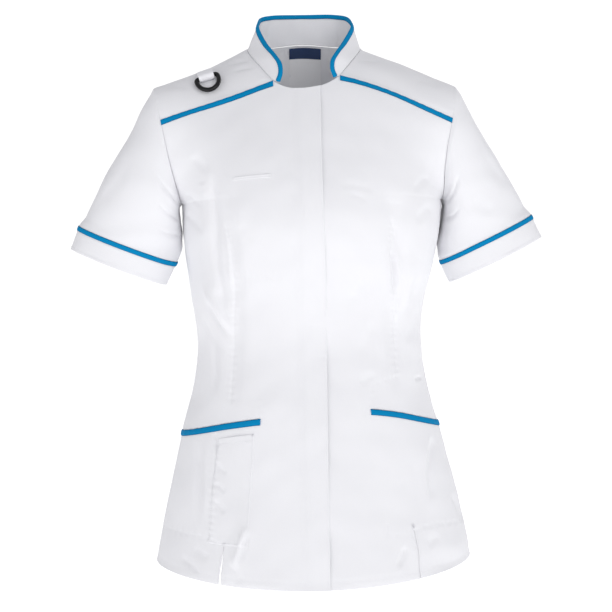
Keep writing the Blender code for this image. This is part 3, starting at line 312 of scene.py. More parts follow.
# Finer creases. Places are x and z on the fronts and back, and metres round and along elsewhere.
# bow bends the line sideways, lee is the width on its other side as a share of width
CREASES = table("panel from_a from_b to_a to_b bow width lee rise", [
    ("front_right", -0.1300, -0.172, -0.1312, -0.290, 0.0010, 0.0060, 0.6, -0.0030),
    ("front_right", -0.1316, -0.262, -0.1110, -0.366, -0.0020, 0.0060, 0.6, -0.0036),
    ("front_right", -0.1172, -0.244, -0.1078, -0.350, 0.0022, 0.0034, 0.8, 0.0018),
    ("front_right", -0.1440, -0.324, -0.1075, -0.396, -0.0010, 0.0048, 0.8, 0.0030),
    ("front_right", -0.1290, -0.325, -0.1060, -0.380, -0.0010, 0.0042, 0.7, -0.0032),
    ("front_right", -0.1400, -0.336, -0.1090, -0.404, -0.0020, 0.0048, 0.7, -0.0034),
    ("front_right", -0.1480, -0.360, -0.1190, -0.420, -0.0030, 0.0060, 0.6, -0.0016),
    ("front_right", -0.1325, -0.386, -0.1338, -0.474, 0.0010, 0.0060, 0.7, -0.0024),
    ("front_right", -0.1610, -0.190, -0.1590, -0.356, 0.0020, 0.0120, 0.8, -0.0024),
    ("front_right", -0.1440, -0.184, -0.1385, -0.208, 0.0010, 0.0050, 1.0, 0.0014),
    ("front_right", -0.1720, -0.196, -0.1420, -0.222, 0.0020, 0.0050, 0.7, -0.0014),
    ("front_right", -0.1740, -0.224, -0.1450, -0.256, 0.0020, 0.0060, 0.7, -0.0016),
    ("front_right", -0.1600, -0.150, -0.1330, -0.176, 0.0020, 0.0070, 0.7, -0.0014),
    ("front_right", -0.0960, -0.244, -0.0800, -0.275, 0.0030, 0.0110, 0.8, -0.0010),
    ("front_right", -0.0300, -0.172, -0.0100, -0.190, 0.0020, 0.0090, 0.9, -0.0008),
    ("front_right", 0.0080, -0.3765, 0.0190, -0.3760, 0.0002, 0.0014, 1.0, -0.0007),
    ("front_right", 0.0080, -0.4230, 0.0180, -0.4226, 0.0002, 0.0014, 1.0, -0.0007),
    ("front_right", -0.0450, -0.480, -0.0520, -0.560, 0.0040, 0.0150, 0.9, -0.0012),
    ("front_right", -0.1366, -0.519, -0.1316, -0.550, 0.0010, 0.0034, 0.7, -0.0022),
    ("front_right", -0.1338, -0.564, -0.1190, -0.578, 0.0010, 0.0044, 0.6, -0.0013),
    ("front_right", -0.1352, -0.588, -0.1200, -0.602, 0.0010, 0.0044, 0.6, -0.0012),
    ("front_right", -0.1360, -0.611, -0.1220, -0.630, 0.0010, 0.0050, 0.6, -0.0014),
    ("front_right", -0.1585, -0.528, -0.1585, -0.650, 0.0016, 0.0078, 0.7, -0.0024),
    ("front_right", -0.1470, -0.528, -0.1490, -0.645, 0.0010, 0.0046, 0.9, 0.0013),
    ("front_right", -0.0932, -0.640, -0.1145, -0.702, 0.0014, 0.0044, 0.8, 0.0026),
    ("front_right", -0.0916, -0.648, -0.1070, -0.694, 0.0012, 0.0046, 0.6, -0.0030),
    ("front_right", -0.1180, -0.690, -0.1010, -0.722, 0.0020, 0.0060, 0.8, -0.0014),
    ("front_right", -0.1860, -0.690, -0.1540, -0.711, 0.0020, 0.0048, 0.8, -0.0016),
    ("front_right", -0.1430, -0.688, -0.1640, -0.672, 0.0020, 0.0060, 0.8, -0.0012),
    ("front_left", 0.1092, -0.240, 0.1140, -0.283, 0.0030, 0.0034, 0.7, -0.0018),
    ("front_left", 0.1086, -0.279, 0.1128, -0.345, 0.0004, 0.0030, 0.9, -0.0038),
    ("front_left", 0.1166, -0.272, 0.1184, -0.346, 0.0005, 0.0036, 0.9, 0.0024),
    ("front_left", 0.1165, -0.345, 0.1176, -0.384, 0.0004, 0.0030, 0.9, 0.0014),
    ("front_left", 0.0380, -0.194, 0.0900, -0.204, 0.0020, 0.0070, 0.7, -0.0010),
    ("front_left", 0.0480, -0.206, 0.0780, -0.218, 0.0020, 0.0060, 0.7, -0.0008),
    ("front_left", 0.0700, -0.318, 0.0500, -0.352, 0.0020, 0.0090, 0.7, -0.0012),
    ("front_left", 0.0840, -0.372, 0.0580, -0.424, 0.0030, 0.0100, 0.7, -0.0012),
    ("front_left", 0.0620, -0.462, 0.0860, -0.447, 0.0020, 0.0060, 0.7, -0.0013),
    ("front_left", 0.1626, -0.536, 0.1536, -0.592, -0.0010, 0.0058, 0.5, -0.0034),
    ("front_left", 0.1538, -0.576, 0.1566, -0.622, 0.0010, 0.0050, 0.6, -0.0020),
    ("front_left", 0.1890, -0.616, 0.2060, -0.662, 0.0010, 0.0042, 0.7, -0.0026),
    ("front_left", 0.1360, -0.560, 0.1380, -0.640, 0.0020, 0.0120, 0.8, -0.0014),
    ("front_left", 0.0938, -0.640, 0.0940, -0.664, 0.0003, 0.0028, 0.8, -0.0010),
    ("front_left", 0.1176, -0.674, 0.1050, -0.704, 0.0010, 0.0042, 0.6, -0.0026),
    ("front_left", 0.1480, -0.680, 0.1700, -0.668, 0.0020, 0.0070, 0.7, -0.0014),
    ("front_left", 0.1640, -0.180, 0.1380, -0.205, -0.0020, 0.0060, 0.7, -0.0015),
    ("front_left", 0.1700, -0.220, 0.1400, -0.246, -0.0020, 0.0070, 0.7, -0.0015),
    ("front_left", 0.1480, -0.310, 0.1230, -0.378, 0.0030, 0.0080, 0.6, -0.0018),
    ("front_left", 0.1500, -0.356, 0.1260, -0.410, 0.0030, 0.0080, 0.6, -0.0014),
    ("front_left", 0.1560, -0.4560, 0.1405, -0.4572, 0.0004, 0.0026, 0.8, -0.0024),
    ("back", -0.1580, -0.330, -0.1000, -0.376, 0.0060, 0.0090, 0.5, -0.0034),
    ("back", -0.1540, -0.365, -0.0850, -0.404, 0.0050, 0.0090, 0.5, -0.0032),
    ("back", -0.1500, -0.405, -0.0700, -0.430, 0.0050, 0.0100, 0.6, -0.0024),
    ("back", 0.1580, -0.340, 0.0950, -0.372, -0.0060, 0.0090, 0.5, -0.0030),
    ("back", 0.1530, -0.385, 0.0760, -0.408, -0.0050, 0.0100, 0.5, -0.0034),
    ("back", 0.0600, -0.362, -0.0480, -0.372, 0.0060, 0.0100, 0.6, -0.0022),
    ("back", 0.0440, -0.398, -0.0600, -0.404, 0.0050, 0.0110, 0.6, -0.0026),
    ("back", -0.1720, -0.150, -0.1220, -0.215, 0.0060, 0.0110, 0.6, -0.0026),
    ("back", -0.1640, -0.205, -0.1240, -0.275, 0.0050, 0.0100, 0.6, -0.0022),
    ("back", 0.1740, -0.145, 0.1280, -0.220, -0.0060, 0.0110, 0.6, -0.0026),
    ("back", 0.1660, -0.212, 0.1300, -0.290, -0.0050, 0.0110, 0.6, -0.0020),
    ("back", -0.0300, -0.470, -0.0400, -0.600, 0.0050, 0.0160, 0.8, -0.0020),
    ("back", 0.1200, -0.470, 0.1350, -0.640, 0.0050, 0.0160, 0.7, -0.0028),
    ("back", -0.1300, -0.480, -0.1480, -0.660, -0.0050, 0.0150, 0.7, -0.0028),
    ("back", 0.0050, -0.560, 0.0000, -0.690, 0.0030, 0.0200, 0.9, 0.0022),
    ("back", -0.1020, -0.560, -0.1140, -0.690, 0.0030, 0.0180, 0.8, 0.0024),
    ("sleeve_right", 0.030, 0.012, 0.110, 0.060, 0.006, 0.0080, 0.6, -0.0024),
    ("sleeve_right", 0.020, 0.050, 0.090, 0.095, 0.006, 0.0080, 0.6, -0.0022),
    ("sleeve_right", 0.015, 0.100, 0.075, 0.140, 0.004, 0.0080, 0.6, -0.0016),
    ("sleeve_right", 0.150, 0.090, 0.175, 0.165, 0.006, 0.0130, 0.8, -0.0016),
    ("sleeve_right", 0.395, 0.020, 0.330, 0.075, -0.006, 0.0090, 0.6, -0.0026),
    ("sleeve_right", 0.400, 0.070, 0.340, 0.120, -0.006, 0.0090, 0.6, -0.0020),
    ("sleeve_right", 0.285, 0.040, 0.270, 0.150, 0.006, 0.0140, 0.8, -0.0018),
    ("sleeve_left", 0.025, 0.014, 0.105, 0.066, 0.006, 0.0080, 0.6, -0.0024),
    ("sleeve_left", 0.020, 0.058, 0.080, 0.108, 0.006, 0.0080, 0.6, -0.0020),
    ("sleeve_left", 0.160, 0.080, 0.180, 0.160, 0.006, 0.0140, 0.8, -0.0018),
    ("sleeve_left", 0.110, 0.120, 0.130, 0.170, 0.004, 0.0090, 0.8, -0.0012),
    ("sleeve_left", 0.398, 0.018, 0.335, 0.070, -0.006, 0.0090, 0.6, -0.0026),
    ("sleeve_left", 0.392, 0.075, 0.340, 0.130, -0.006, 0.0100, 0.6, -0.0020),
    ("sleeve_left", 0.280, 0.060, 0.262, 0.160, 0.006, 0.0150, 0.8, -0.0016),
    ("yoke_right", 0.006, 0.030, 0.034, 0.038, 0.002, 0.0050, 0.6, -0.0014),
    ("yoke_right", 0.004, 0.046, 0.040, 0.060, 0.002, 0.0050, 0.6, -0.0016),
    ("yoke_right", 0.006, 0.070, 0.050, 0.080, 0.003, 0.0060, 0.6, -0.0014),
    ("yoke_right", 0.090, 0.030, 0.130, 0.050, 0.003, 0.0090, 0.7, -0.0010),
    ("yoke_left", 0.005, 0.036, 0.036, 0.050, 0.002, 0.0050, 0.6, -0.0013),
    ("yoke_left", 0.005, 0.060, 0.046, 0.070, 0.003, 0.0060, 0.6, -0.0013),
    ("yoke_left", 0.080, 0.034, 0.125, 0.044, 0.003, 0.0090, 0.7, -0.0010),
])

# Sewn lines on the fronts: a share of the sewn lines' depth, then points as x and z
SEAMS = {
    "dart_right": (1.0, [(-0.1150, -0.244), (-0.1070, -0.2935), (-0.1040, -0.320), (-0.1030, -0.344),
                         (-0.1066, -0.3985), (-0.1103, -0.452), (-0.1113, -0.482)]),
    "dart_left": (1.0, [(0.1080, -0.238), (0.1089, -0.2855), (0.1112, -0.311), (0.1126, -0.335),
                        (0.1140, -0.376), (0.1125, -0.452)]),
    "pocket_side_right": (1.1, [(-0.1320, -0.532), (-0.1322, -0.548), (-0.1361, -0.578),
                                (-0.1387, -0.611), (-0.1436, -0.6605)]),
    "pocket_foot_right": (0.8, [(-0.2060, -0.6565), (-0.1794, -0.6585), (-0.1600, -0.6599),
                                (-0.1449, -0.6612), (-0.1270, -0.6685)]),
    "pocket_foot_left": (0.5, [(0.0938, -0.6591), (0.1311, -0.6640)]),
    "pocket_side_left": (1.0, [(0.1335, -0.6561), (0.1606, -0.6517), (0.2065, -0.6565)]),
    "chest_foot": (0.5, [(-0.0970, -0.3152), (-0.0465, -0.3158)]),
    "chest_side": (0.5, [(-0.0463, -0.3040), (-0.0465, -0.3158)]),
    "bag_side_right": (0.35, [(-0.0738, -0.470), (-0.0743, -0.500)]),
    "bag_side_left": (0.5, [(0.0783, -0.4548), (0.0771, -0.4900)]),
    "bag_top_left": (0.6, [(0.0837, -0.4591), (0.1152, -0.4531)]),
}
STITCHED = {
    -1: ("pocket_side_right", "pocket_foot_right", "chest_foot", "chest_side"),
    1: ("pocket_foot_left", "pocket_side_left"),
}

# What differs between the wearer's right (-1) and left (1) front, in columns, rows and metres
FRONT_FACTS = {
    -1: {"vent": 0.385, "vent_top": -0.662, "vent_open": 0.0035, "mouth": 0.243, "mouth_low": -0.534,
         "mouth_top": -0.5255},
    1: {"vent": 0.408, "vent_top": -0.650, "vent_open": 0.0006, "mouth": 0.26, "mouth_low": -0.5255,
        "mouth_top": -0.517},
}


def through(rows, key, column, at):
    """A smooth curve through one column of a table: cubic pieces with slopes from the neighbours."""
    x, y = rows[key], rows[column]
    slope = np.gradient(y, x)
    at = np.clip(at, x[0], x[-1])
    i = np.clip(np.searchsorted(x, at) - 1, 0, len(x) - 2)
    span = x[i + 1] - x[i]
    t = (at - x[i]) / span
    rising = y[i] * (1 + 2 * t) * (1 - t) ** 2 + y[i + 1] * t * t * (3 - 2 * t)
    leaning = slope[i] * t * (1 - t) ** 2 + slope[i + 1] * t * t * (t - 1)
    return rising + leaning * span


def stack(x, y, z):
    """Three arrays of coordinates as one array of points."""
    return np.stack(np.broadcast_arrays(x, y, z), axis=-1)


def unit(vectors):
    """The vectors scaled to length one."""
    return vectors / np.maximum(np.linalg.norm(vectors, axis=-1, keepdims=True), 1e-12)


def smooth(share):
    """A soft step from 0 to 1: 3 times the square less 2 times the cube."""
    share = np.clip(share, 0.0, 1.0)
    return share * share * (3 - 2 * share)


def armhole(angle, back):
    """The armhole seam: an upright ring whose x leans in towards the underarm (angle pi)."""
    middle, half = (ARMHOLE_TOP + UNDERARM) / 2, (ARMHOLE_TOP - UNDERARM) / 2
    z = middle + half * np.cos(angle)
    reach = np.where(back, ARMHOLE_BACK, -ARMHOLE_FRONT)
    y = reach * np.abs(np.sin(angle)) ** 0.8
    rise = np.clip((z - UNDERARM) / (2 * half), 0.0, 1.0)
    x = UNDERARM_X + (SHOULDER_X - UNDERARM_X) * rise ** 1.15
    return stack(x, y, z)


def upper_share(row):
    """How far a row lies from the underarm (0) up to the yoke (1)."""
    return np.clip((row - UNDERARM) / (YOKE_ROW - UNDERARM), 0.0, 1.0)


def row_angle(row, back):
    """The armhole angle where a row of the body ends."""
    top = np.where(back, BACK_YOKE_ANGLE, FRONT_YOKE_ANGLE)
    return np.pi - upper_share(row) * (np.pi - top)


def body(column, row, back):
    """The left half of the body: each row is a cubic arc from the middle line to the side seam."""
    rows = BACK if back else FRONT
    facing = 1.0 if back else -1.0
    column, row = np.broadcast_arrays(np.asarray(column, float), np.asarray(row, float))
    upper = upper_share(row)
    seam = armhole(row_angle(row, back), back)
    below = row <= UNDERARM
    side_x = np.where(below, through(SIDE, "row", "half_width", row), seam[..., 0])
    side_y = np.where(below, 0.0, seam[..., 1])
    side_z = np.where(below, row, seam[..., 2])
    depth = through(rows, "row", "depth", row)
    middle_z = through(rows, "row", "centre_z", row)
    near_x = through(rows, "row", "centre_full", row) * side_x
    far_x = side_x - through(rows, "row", "far_gap", row)
    far_y = facing * through(rows, "row", "far_full", row) * depth
    top_z = armhole(np.array(BACK_YOKE_ANGLE if back else FRONT_YOKE_ANGLE), back)[2]
    plain_z = row + (top_z - YOKE_ROW) * upper ** 2
    a, b = (1 - column) ** 3, 3 * column * (1 - column) ** 2
    c, d = 3 * column ** 2 * (1 - column), column ** 3
    x = b * near_x + c * far_x + d * side_x
    soft = ROW_BEND
    drop = (np.sqrt((x / side_x) ** 2 + soft ** 2) - soft) / (math.sqrt(1 + soft ** 2) - soft)
    z = middle_z + (plain_z - middle_z) * ((1 - upper) * (c + d) + upper * drop)
    z = z + (side_z - plain_z) * d
    return stack(x, (a + b) * facing * depth + c * far_y + d * side_y, z)


def column_at(x, row, back):
    """The column where a row of the body passes x, found by halving."""
    low = np.full(np.broadcast(x, row).shape, -0.2)
    high = np.full(low.shape, 1.0)
    for _ in range(40):
        middle = (low + high) / 2
        short = body(middle, row, back)[..., 0] < x
        low = np.where(short, middle, low)
        high = np.where(short, high, middle)
    return (low + high) / 2


def normals_of(surface, u, v, sign):
    """Unit normals of a surface: the cross product of its slopes along u and v."""
    step = 1e-4
    along_u = surface(u + step, v) - surface(u - step, v)
    along_v = surface(u, v + step) - surface(u, v - step)
    return sign * unit(np.cross(along_u, along_v))


def fold_rise(points, side, back):
    """The solids' folds: for each, its rise times a bell curve of the distance to its line."""
    rise = np.zeros(points.shape[:-1])
    for k in np.flatnonzero((FOLDS["side"] == side) & (FOLDS["back"] == back)):
        start = np.array([FOLDS["from_x"][k], FOLDS["from_z"][k]])
        way = np.array([FOLDS["to_x"][k], FOLDS["to_z"][k]]) - start
        place = np.stack([points[..., 0], points[..., 2]], axis=-1) - start
        along = place @ way / (way @ way)
        off = np.linalg.norm(place - np.clip(along, 0, 1)[..., None] * way, axis=-1)
        ends = 0.35 + 0.65 * np.sin(np.pi * np.clip(along, 0.0, 1.0))
        rise += FOLDS["rise"][k] * ends * np.exp(-(off / FOLDS["width"][k]) ** 2)
    return rise


def neck_row(column, row, back):
    """A row bent down to the neckline near the middle, where the neck cuts into the upper rows."""
    reach, dip = (BACK_NECK, BACK_NECK_DIP) if back else (FRONT_NECK, FRONT_NECK_DIP)
    cut = dip * np.clip(1 - (column / reach) ** 2, 0.0, 1.0)
    return row - upper_share(row) * cut * (YOKE_ROW - UNDERARM)


def front_row(column, row, side):
    """A row of the front, bent to the neckline and, on the left, to the slant of the hip pocket."""
    if side > 0:
        near = np.exp(-((row - LEFT_MOUTH_ROW) / LEFT_MOUTH_REACH) ** 2)
        row = row + through(LEFT_MOUTH, "column", "shift", column) * near
    return neck_row(column, row, False)


def yoke(front_share, back_share, over):
    """The left yoke: a parabola from the front seam over the ridge to the back, eased to its ends."""
    front = lambda share: body(FRONT_NECK + (1 - FRONT_NECK) * share, YOKE_ROW, False)
    rear = lambda share: body(BACK_NECK + (1 - BACK_NECK) * share, YOKE_ROW, True)
    share = (front_share + back_share) / 2
    neck_point = np.array([NECK_SIDE[c][1] for c in "xyz"])
    shoulder = armhole(np.array(0.0), False)
    ridge = neck_point + share[..., None] * (shoulder - neck_point)
    w0 = ((1 - over) * (1 - 2 * over))[..., None]
    w1 = (4 * over * (1 - over))[..., None]
    w2 = (over * (2 * over - 1))[..., None]
    middle = front(front_share) * w0 + ridge * w1 + rear(back_share) * w2
    zero, one = np.array(0.0), np.array(1.0)
    ends = {c: np.array([front(zero)["xyz".index(c)], *NECK_SIDE[c], rear(zero)["xyz".index(c)]])
            for c in "xyz"}
    ends["share"] = np.array([0.0, *NECK_SIDE["share"], 1.0])
    neck = stack(*(through(ends, "share", c, over) for c in "xyz"))
    angle = np.where(over < 0.5, FRONT_YOKE_ANGLE * (1 - 2 * over), BACK_YOKE_ANGLE * (2 * over - 1))
    arm = armhole(angle, over > 0.5)
    at_neck = front(zero) * w0 + neck_point * w1 + rear(zero) * w2
    at_arm = front(one) * w0 + shoulder * w1 + rear(one) * w2
    return middle + (neck - at_neck) * (1 - share[..., None]) + (arm - at_arm) * share[..., None]


def cuff_axes(side):
    """Half axes of one cuff ring, outward and forward, and the unit way out of the sleeve."""
    k = int(side > 0)
    slope, tilt = math.radians(CUFFS["slope"][k]), math.radians(CUFFS["tilt"][k])
    outward = CUFFS["half_width"][k] * np.array([math.cos(slope), 0.0, math.sin(slope)])
    forward = CUFF_HALF_DEPTH * np.array([0.0, -math.cos(tilt), -math.sin(tilt)])
    return outward, forward, -unit(np.cross(forward, outward))


def cuff_ring(angle, back, back_off, side):
    """An ellipse round the cuff, moved back up the sleeve by a distance."""
    k = int(side > 0)
    outward, forward, way = cuff_axes(side)
    turned = np.where(back, -1.0, 1.0) * np.sin(angle)
    ring = np.cos(angle)[..., None] * outward + turned[..., None] * forward
    centre = np.array([CUFFS[c][k] for c in "xyz"])
    return centre + ring - np.asarray(back_off)[..., None] * way


def sleeve(angle, back, along, side):
    """The left sleeve: cubic curves that leave the armhole downward and reach the cuff square on."""
    top = armhole(angle, back)
    foot = cuff_ring(angle, back, np.full(np.shape(angle), CUFF_BAND), side)
    under = (1 - np.cos(angle)) / 2
    leave = unit(stack(0.52 - 0.52 * under, 0.0 * under, -0.85 - 0.15 * under))
    length = np.linalg.norm(foot - top, axis=-1)[..., None]
    way = cuff_axes(side)[2]
    t = along[..., None]
    points = (
        (1 - t) ** 3 * top + 3 * t * (1 - t) ** 2 * (top + leave * length / 3)
        + 3 * t * t * (1 - t) * (foot - way * length / 3) + t ** 3 * foot
    )
    k = int(side > 0)
    parting = UNDERARM_PARTING * (1 - np.exp(-along / 0.05)) * (1 - along)
    parting = (parting + CUFFS["ease"][k] * np.sin(np.pi * along)) * under ** 2
    dip = CUFFS["dip"][k] * smooth(along / 0.42) * smooth((1 - along) / 0.07) * (1 - under) ** 2
    swell = SLEEVE_SWELL * np.sin(np.pi * along) * np.sin(angle) * np.where(back, 1.0, -1.0)
    return points + stack(parting - dip, swell, 0.0)


def collar_top(share, side):
    """The collar's top edge, a little wider towards the top on the wearer's left."""
    x, y, z = (through(COLLAR_TOP, "share", c, share) for c in "xyz")
    spread = COLLAR_SPREAD * smooth(z / 0.04) * (np.asarray(side) > 0)
    return stack(side * x * (1 + spread), y, z)


def settle(points):
    """The front of the neck rises on the wearer's left in a wave, and both sides lean that way."""
    x, y, z = points[..., 0], points[..., 1], points[..., 2]
    near = np.exp(-((z - SETTLE_Z) / SETTLE_REACH) ** 2) * smooth((0.02 - y) / 0.05)
    tilt = SETTLE * np.sin(2 * np.pi * x / SETTLE_WAVE) * near
    far, lean = np.abs(x), {}
    for side, leans in ((-1, LEAN_RIGHT), (1, LEAN_LEFT)):
        start, span = LEAN_END[side]
        lean[side] = through(leans, "z", "shift", z) * (1 - smooth((far - start) / span))
    shift = np.where(x < 0, lean[-1], lean[1]) * smooth((far - LEAN_FROM) / LEAN_RISE)
    return points + stack(shift, 0.0, tilt)


def placed(points, side):
    """Points of the left half on their own side of the garment, settled."""
    return settle(points * np.array([side, 1.0, 1.0]))


def crease_rise(panel, a, b):
    """Each crease is its rise, faded at both ends, times a bell curve that is steeper on its lee side."""
    rise = np.zeros(np.broadcast(a, b).shape)
    for k in np.flatnonzero(CREASES["panel"] == panel):
        start = np.array([CREASES["from_a"][k], CREASES["from_b"][k]])
        way = np.array([CREASES["to_a"][k], CREASES["to_b"][k]]) - start
        length = np.hypot(*way)
        da, db = a - start[0], b - start[1]
        along = (da * way[0] + db * way[1]) / length ** 2
        off = (db * way[0] - da * way[1]) / length - CREASES["bow"][k] * 4 * along * (1 - along)
        width = CREASES["width"][k] * np.where(off > 0, 1.0, CREASES["lee"][k])
        fade = smooth(along / 0.3) * smooth((1 - along) / 0.35)
        rise += CREASES["rise"][k] * fade * np.exp(-(off / width) ** 2)
    return rise * bpy.context.scene.tunic_looks.crease_strength


def ripples(a, b, seed):
    """Slow unevenness of worn cloth: a sum of long sine waves of many directions."""
    rng = np.random.default_rng(seed)
    total = np.zeros(np.broadcast(a, b).shape)
    for length in (0.17, 0.11, 0.075, 0.05, 0.034):
        for _ in range(2):
            turn, phase = rng.uniform(0, np.pi), rng.uniform(0, 2 * np.pi)
            wave = np.sin(2 * np.pi * (a * np.cos(turn) + b * np.sin(turn)) / length + phase)
            total += wave * 0.0032 * length
    return total


def line_distance(points, a, b):
    """The distance from places to a line of points, and how far along it they are, in metres."""
    best = np.full(np.broadcast(a, b).shape, 1e3)
    far = np.zeros(best.shape)
    run = 0.0
    for (x0, y0), (x1, y1) in zip(points[:-1], points[1:]):
        way = np.array([x1 - x0, y1 - y0])
        length = np.hypot(*way)
        along = np.clip(((a - x0) * way[0] + (b - y0) * way[1]) / length ** 2, 0, 1)
        off = np.hypot(a - x0 - along * way[0], b - y0 - along * way[1])
        far = np.where(off < best, run + along * length, far)
        best = np.minimum(off, best)
        run += length
    return best, far


def pucker(distance, along, depth=0.0007, reach=0.006, pitch=0.009):
    """A sewn seam: a narrow trough at it, and short waves across it that fade away from it."""
    trough = -depth * np.exp(-(distance / 0.0014) ** 2)
    swing = np.sin(2 * np.pi * along / pitch + 1.7 * np.sin(along / 0.021) + 40 * distance)
    return trough + 0.35 * depth * swing * np.exp(-(distance / reach) ** 2)


def front_relief(side, points):
    """Creases, seams and unevenness of one front, as a rise along its normals."""
    x, z = points[..., 0], points[..., 2]
    depth = bpy.context.scene.tunic_looks.seam_depth
    rise = crease_rise(f"front_{WORDS[side]}", x, z) + ripples(x, z, 11 + int(side > 0))
    for share, line in SEAMS.values():
        if (line[0][0] > 0) == (side > 0):
            off, along = line_distance(line, x, z)
            rise += pucker(off, along, share * depth)
    return rise


def half_panel(side, column, row, rear, relief):
    """A front or half the back: the body's points moved out by folds and, with relief, by finer detail."""
    row = neck_row(column, row, True) if rear else front_row(column, row, side)
    plain = body(column, row, rear)
    normals = normals_of(lambda u, v: body(u, v, rear), column, row, -1.0 if rear else 1.0)
    rise = fold_rise(plain, side, int(rear))
    x = side * plain[..., 0] if rear else plain[..., 0]
    if side < 0 and not rear:
        rise = rise + LAP_LIFT * (1 - smooth((x + UNDERLAP_EDGE) / (UNDERLAP_EDGE - LAP_FOOT)))
    if relief:
        if rear:
            fine = crease_rise("back", x, plain[..., 2]) + ripples(x, plain[..., 2], 21)
        else:
            fine = front_relief(side, placed(plain, side))
        upper = upper_share(row)
        inner = smooth((1 - column) / 0.03) * np.where(row > UNDERARM, smooth((1 - upper) / 0.06), 1.0)
        rise = rise + fine * inner * (0.25 + 0.75 * smooth((row - HEM) / 0.004))
        seam_run = np.where(row > UNDERARM, upper * ARMHOLE_RUN, row)
        rise = rise + pucker((1 - column) * BODY_RUN, seam_run, SEWN_DIP)
        rise = rise + pucker(row - HEM - HEM_TURN, x, HEM_DIP)
    return placed(plain + normals * rise[..., None], side)


def front(side, column, row, relief=True):
    """One front, bent to the neckline, with the right one's lap lifted over the left one."""
    return half_panel(side, column, row, False, relief)


def back(side, column, row, relief=True):
    """One half of the back."""
    return half_panel(side, column, row, True, relief)


def shoulder(side, share, over, relief=True):
    """One yoke with its creases."""
    plain = yoke(share, share, over)
    if relief:
        inner = lambda u, v: yoke(u, u, np.clip(v, 1e-3, 1 - 1e-3))
        normals = normals_of(inner, share, np.clip(over, 2e-3, 1 - 2e-3), 1.0)
        a, b = share * YOKE_WIDTH, over * YOKE_DEPTH
        edge = smooth(over / 0.05) * smooth((1 - over) / 0.05)
        edge = edge * smooth((1 - share) / 0.05) * smooth(share / 0.03)
        rise = edge * (crease_rise(f"yoke_{WORDS[side]}", a, b) + ripples(a, b, 31 + int(side > 0)))
        for off, run in ((b, a), (YOKE_DEPTH - b, a), (YOKE_WIDTH - a, b), (a, b)):
            rise = rise + pucker(off, run, SEWN_DIP)
        plain = plain + normals * rise[..., None]
    return placed(plain, side)


def turn_parts(turn):
    """The armhole angle and the front or back of a share of the way round from the underarm."""
    turn = np.mod(turn, 1.0)
    return np.where(turn < 0.5, np.pi * (1 - 2 * turn), np.pi * (2 * turn - 1)), turn >= 0.5


def arm(side, turn, along):
    """One sleeve: turn 0 is the underarm, then up the front, over the top and down the back."""
    surface = lambda u, v: sleeve(*turn_parts(u), v, side)
    a, b = np.mod(turn, 1.0) * SLEEVE_GIRTH, along * SLEEVE_LENGTH
    around = 2 * np.pi * turn
    round_x, round_y = SLEEVE_RADIUS * np.sin(around), SLEEVE_RADIUS * np.cos(around)
    rise = crease_rise(f"sleeve_{WORDS[side]}", a, b) + ripples(round_x, b + round_y, 41 + int(side > 0))
    rise = rise * smooth(along / 0.06) * smooth((1 - along) / 0.05)
    rise = rise + pucker(b, a, SEWN_DIP) + pucker(np.minimum(a, SLEEVE_GIRTH - a), b, SEWN_DIP)
    return placed(surface(turn, along) + normals_of(surface, turn, along, -1.0) * rise[..., None], side)


def grid_normals(points, closed):
    """Normals of a grid: the cross product of its two sets of lines."""
    along = np.gradient(points, axis=0)
    if closed:
        across = np.roll(points, -1, axis=1) - np.roll(points, 1, axis=1)
    else:
        across = np.gradient(points, axis=1)
    return unit(np.cross(along, across))


def edge_lines(points, thick, closed):
    """Two more lines close to each open edge of a grid, so that the edge can be rounded."""
    for axis in ((0,) if closed else (0, 1)):
        grid = np.moveaxis(points, axis, 0)
        for _ in range(2):
            first, second = grid[0], grid[1]
            span = np.linalg.norm(second - first, axis=-1, keepdims=True)
            fresh = [first + (second - first) * np.minimum(thick * s / np.maximum(span, 1e-9), 0.2 + s)
                     for s in (0.15, 0.5)]
            grid = np.concatenate([grid[:1], np.stack(fresh), grid[1:]])[::-1]
        points = np.moveaxis(grid, 0, axis)
    return points


def edge_roll(points, thick, closed, edges):
    """How far each face of a wall draws in near an open edge: a quarter circle times the edge's share."""
    roll = np.zeros(points.shape[:-1])
    for axis in ((0,) if closed else (0, 1)):
        grid = np.moveaxis(points, axis, 0)
        for flip in (False, True):
            half = thick / 2 * edges[2 * axis + int(flip)]
            line = grid[::-1] if flip else grid
            step = np.linalg.norm(np.diff(line[:4], axis=0), axis=-1)
            off = np.concatenate([np.zeros((1, *step.shape[1:])), np.cumsum(step, axis=0)])
            near = np.clip(1 - off / half, 0, 1)
            draw = half * 0.85 * (1 - np.sqrt(1 - near ** 2))
            view = np.moveaxis(roll, axis, 0)
            view = view[::-1] if flip else view
            view[:4] = np.maximum(view[:4], draw)
    return roll


def measures(points):
    """Distances along both sets of grid lines, as a map of the cloth in metres."""
    across = np.linalg.norm(np.diff(points, axis=1), axis=-1)
    along = np.linalg.norm(np.diff(points, axis=0), axis=-1)
    u = np.concatenate([np.zeros((len(points), 1)), np.cumsum(across, axis=1)], axis=1)
    v = np.concatenate([np.zeros((1, points.shape[1])), np.cumsum(along, axis=0)])
    return u, v


def faces_of(rows, columns, closed):
    """The four corners of each cell of a grid."""
    index = np.arange(rows * columns).reshape(rows, columns)
    ahead = np.roll(index, -1, axis=1)
    if not closed:
        index, ahead = index[:, :-1], ahead[:, :-1]
    return np.stack([index[:-1], ahead[:-1], ahead[1:], index[1:]], axis=-1)


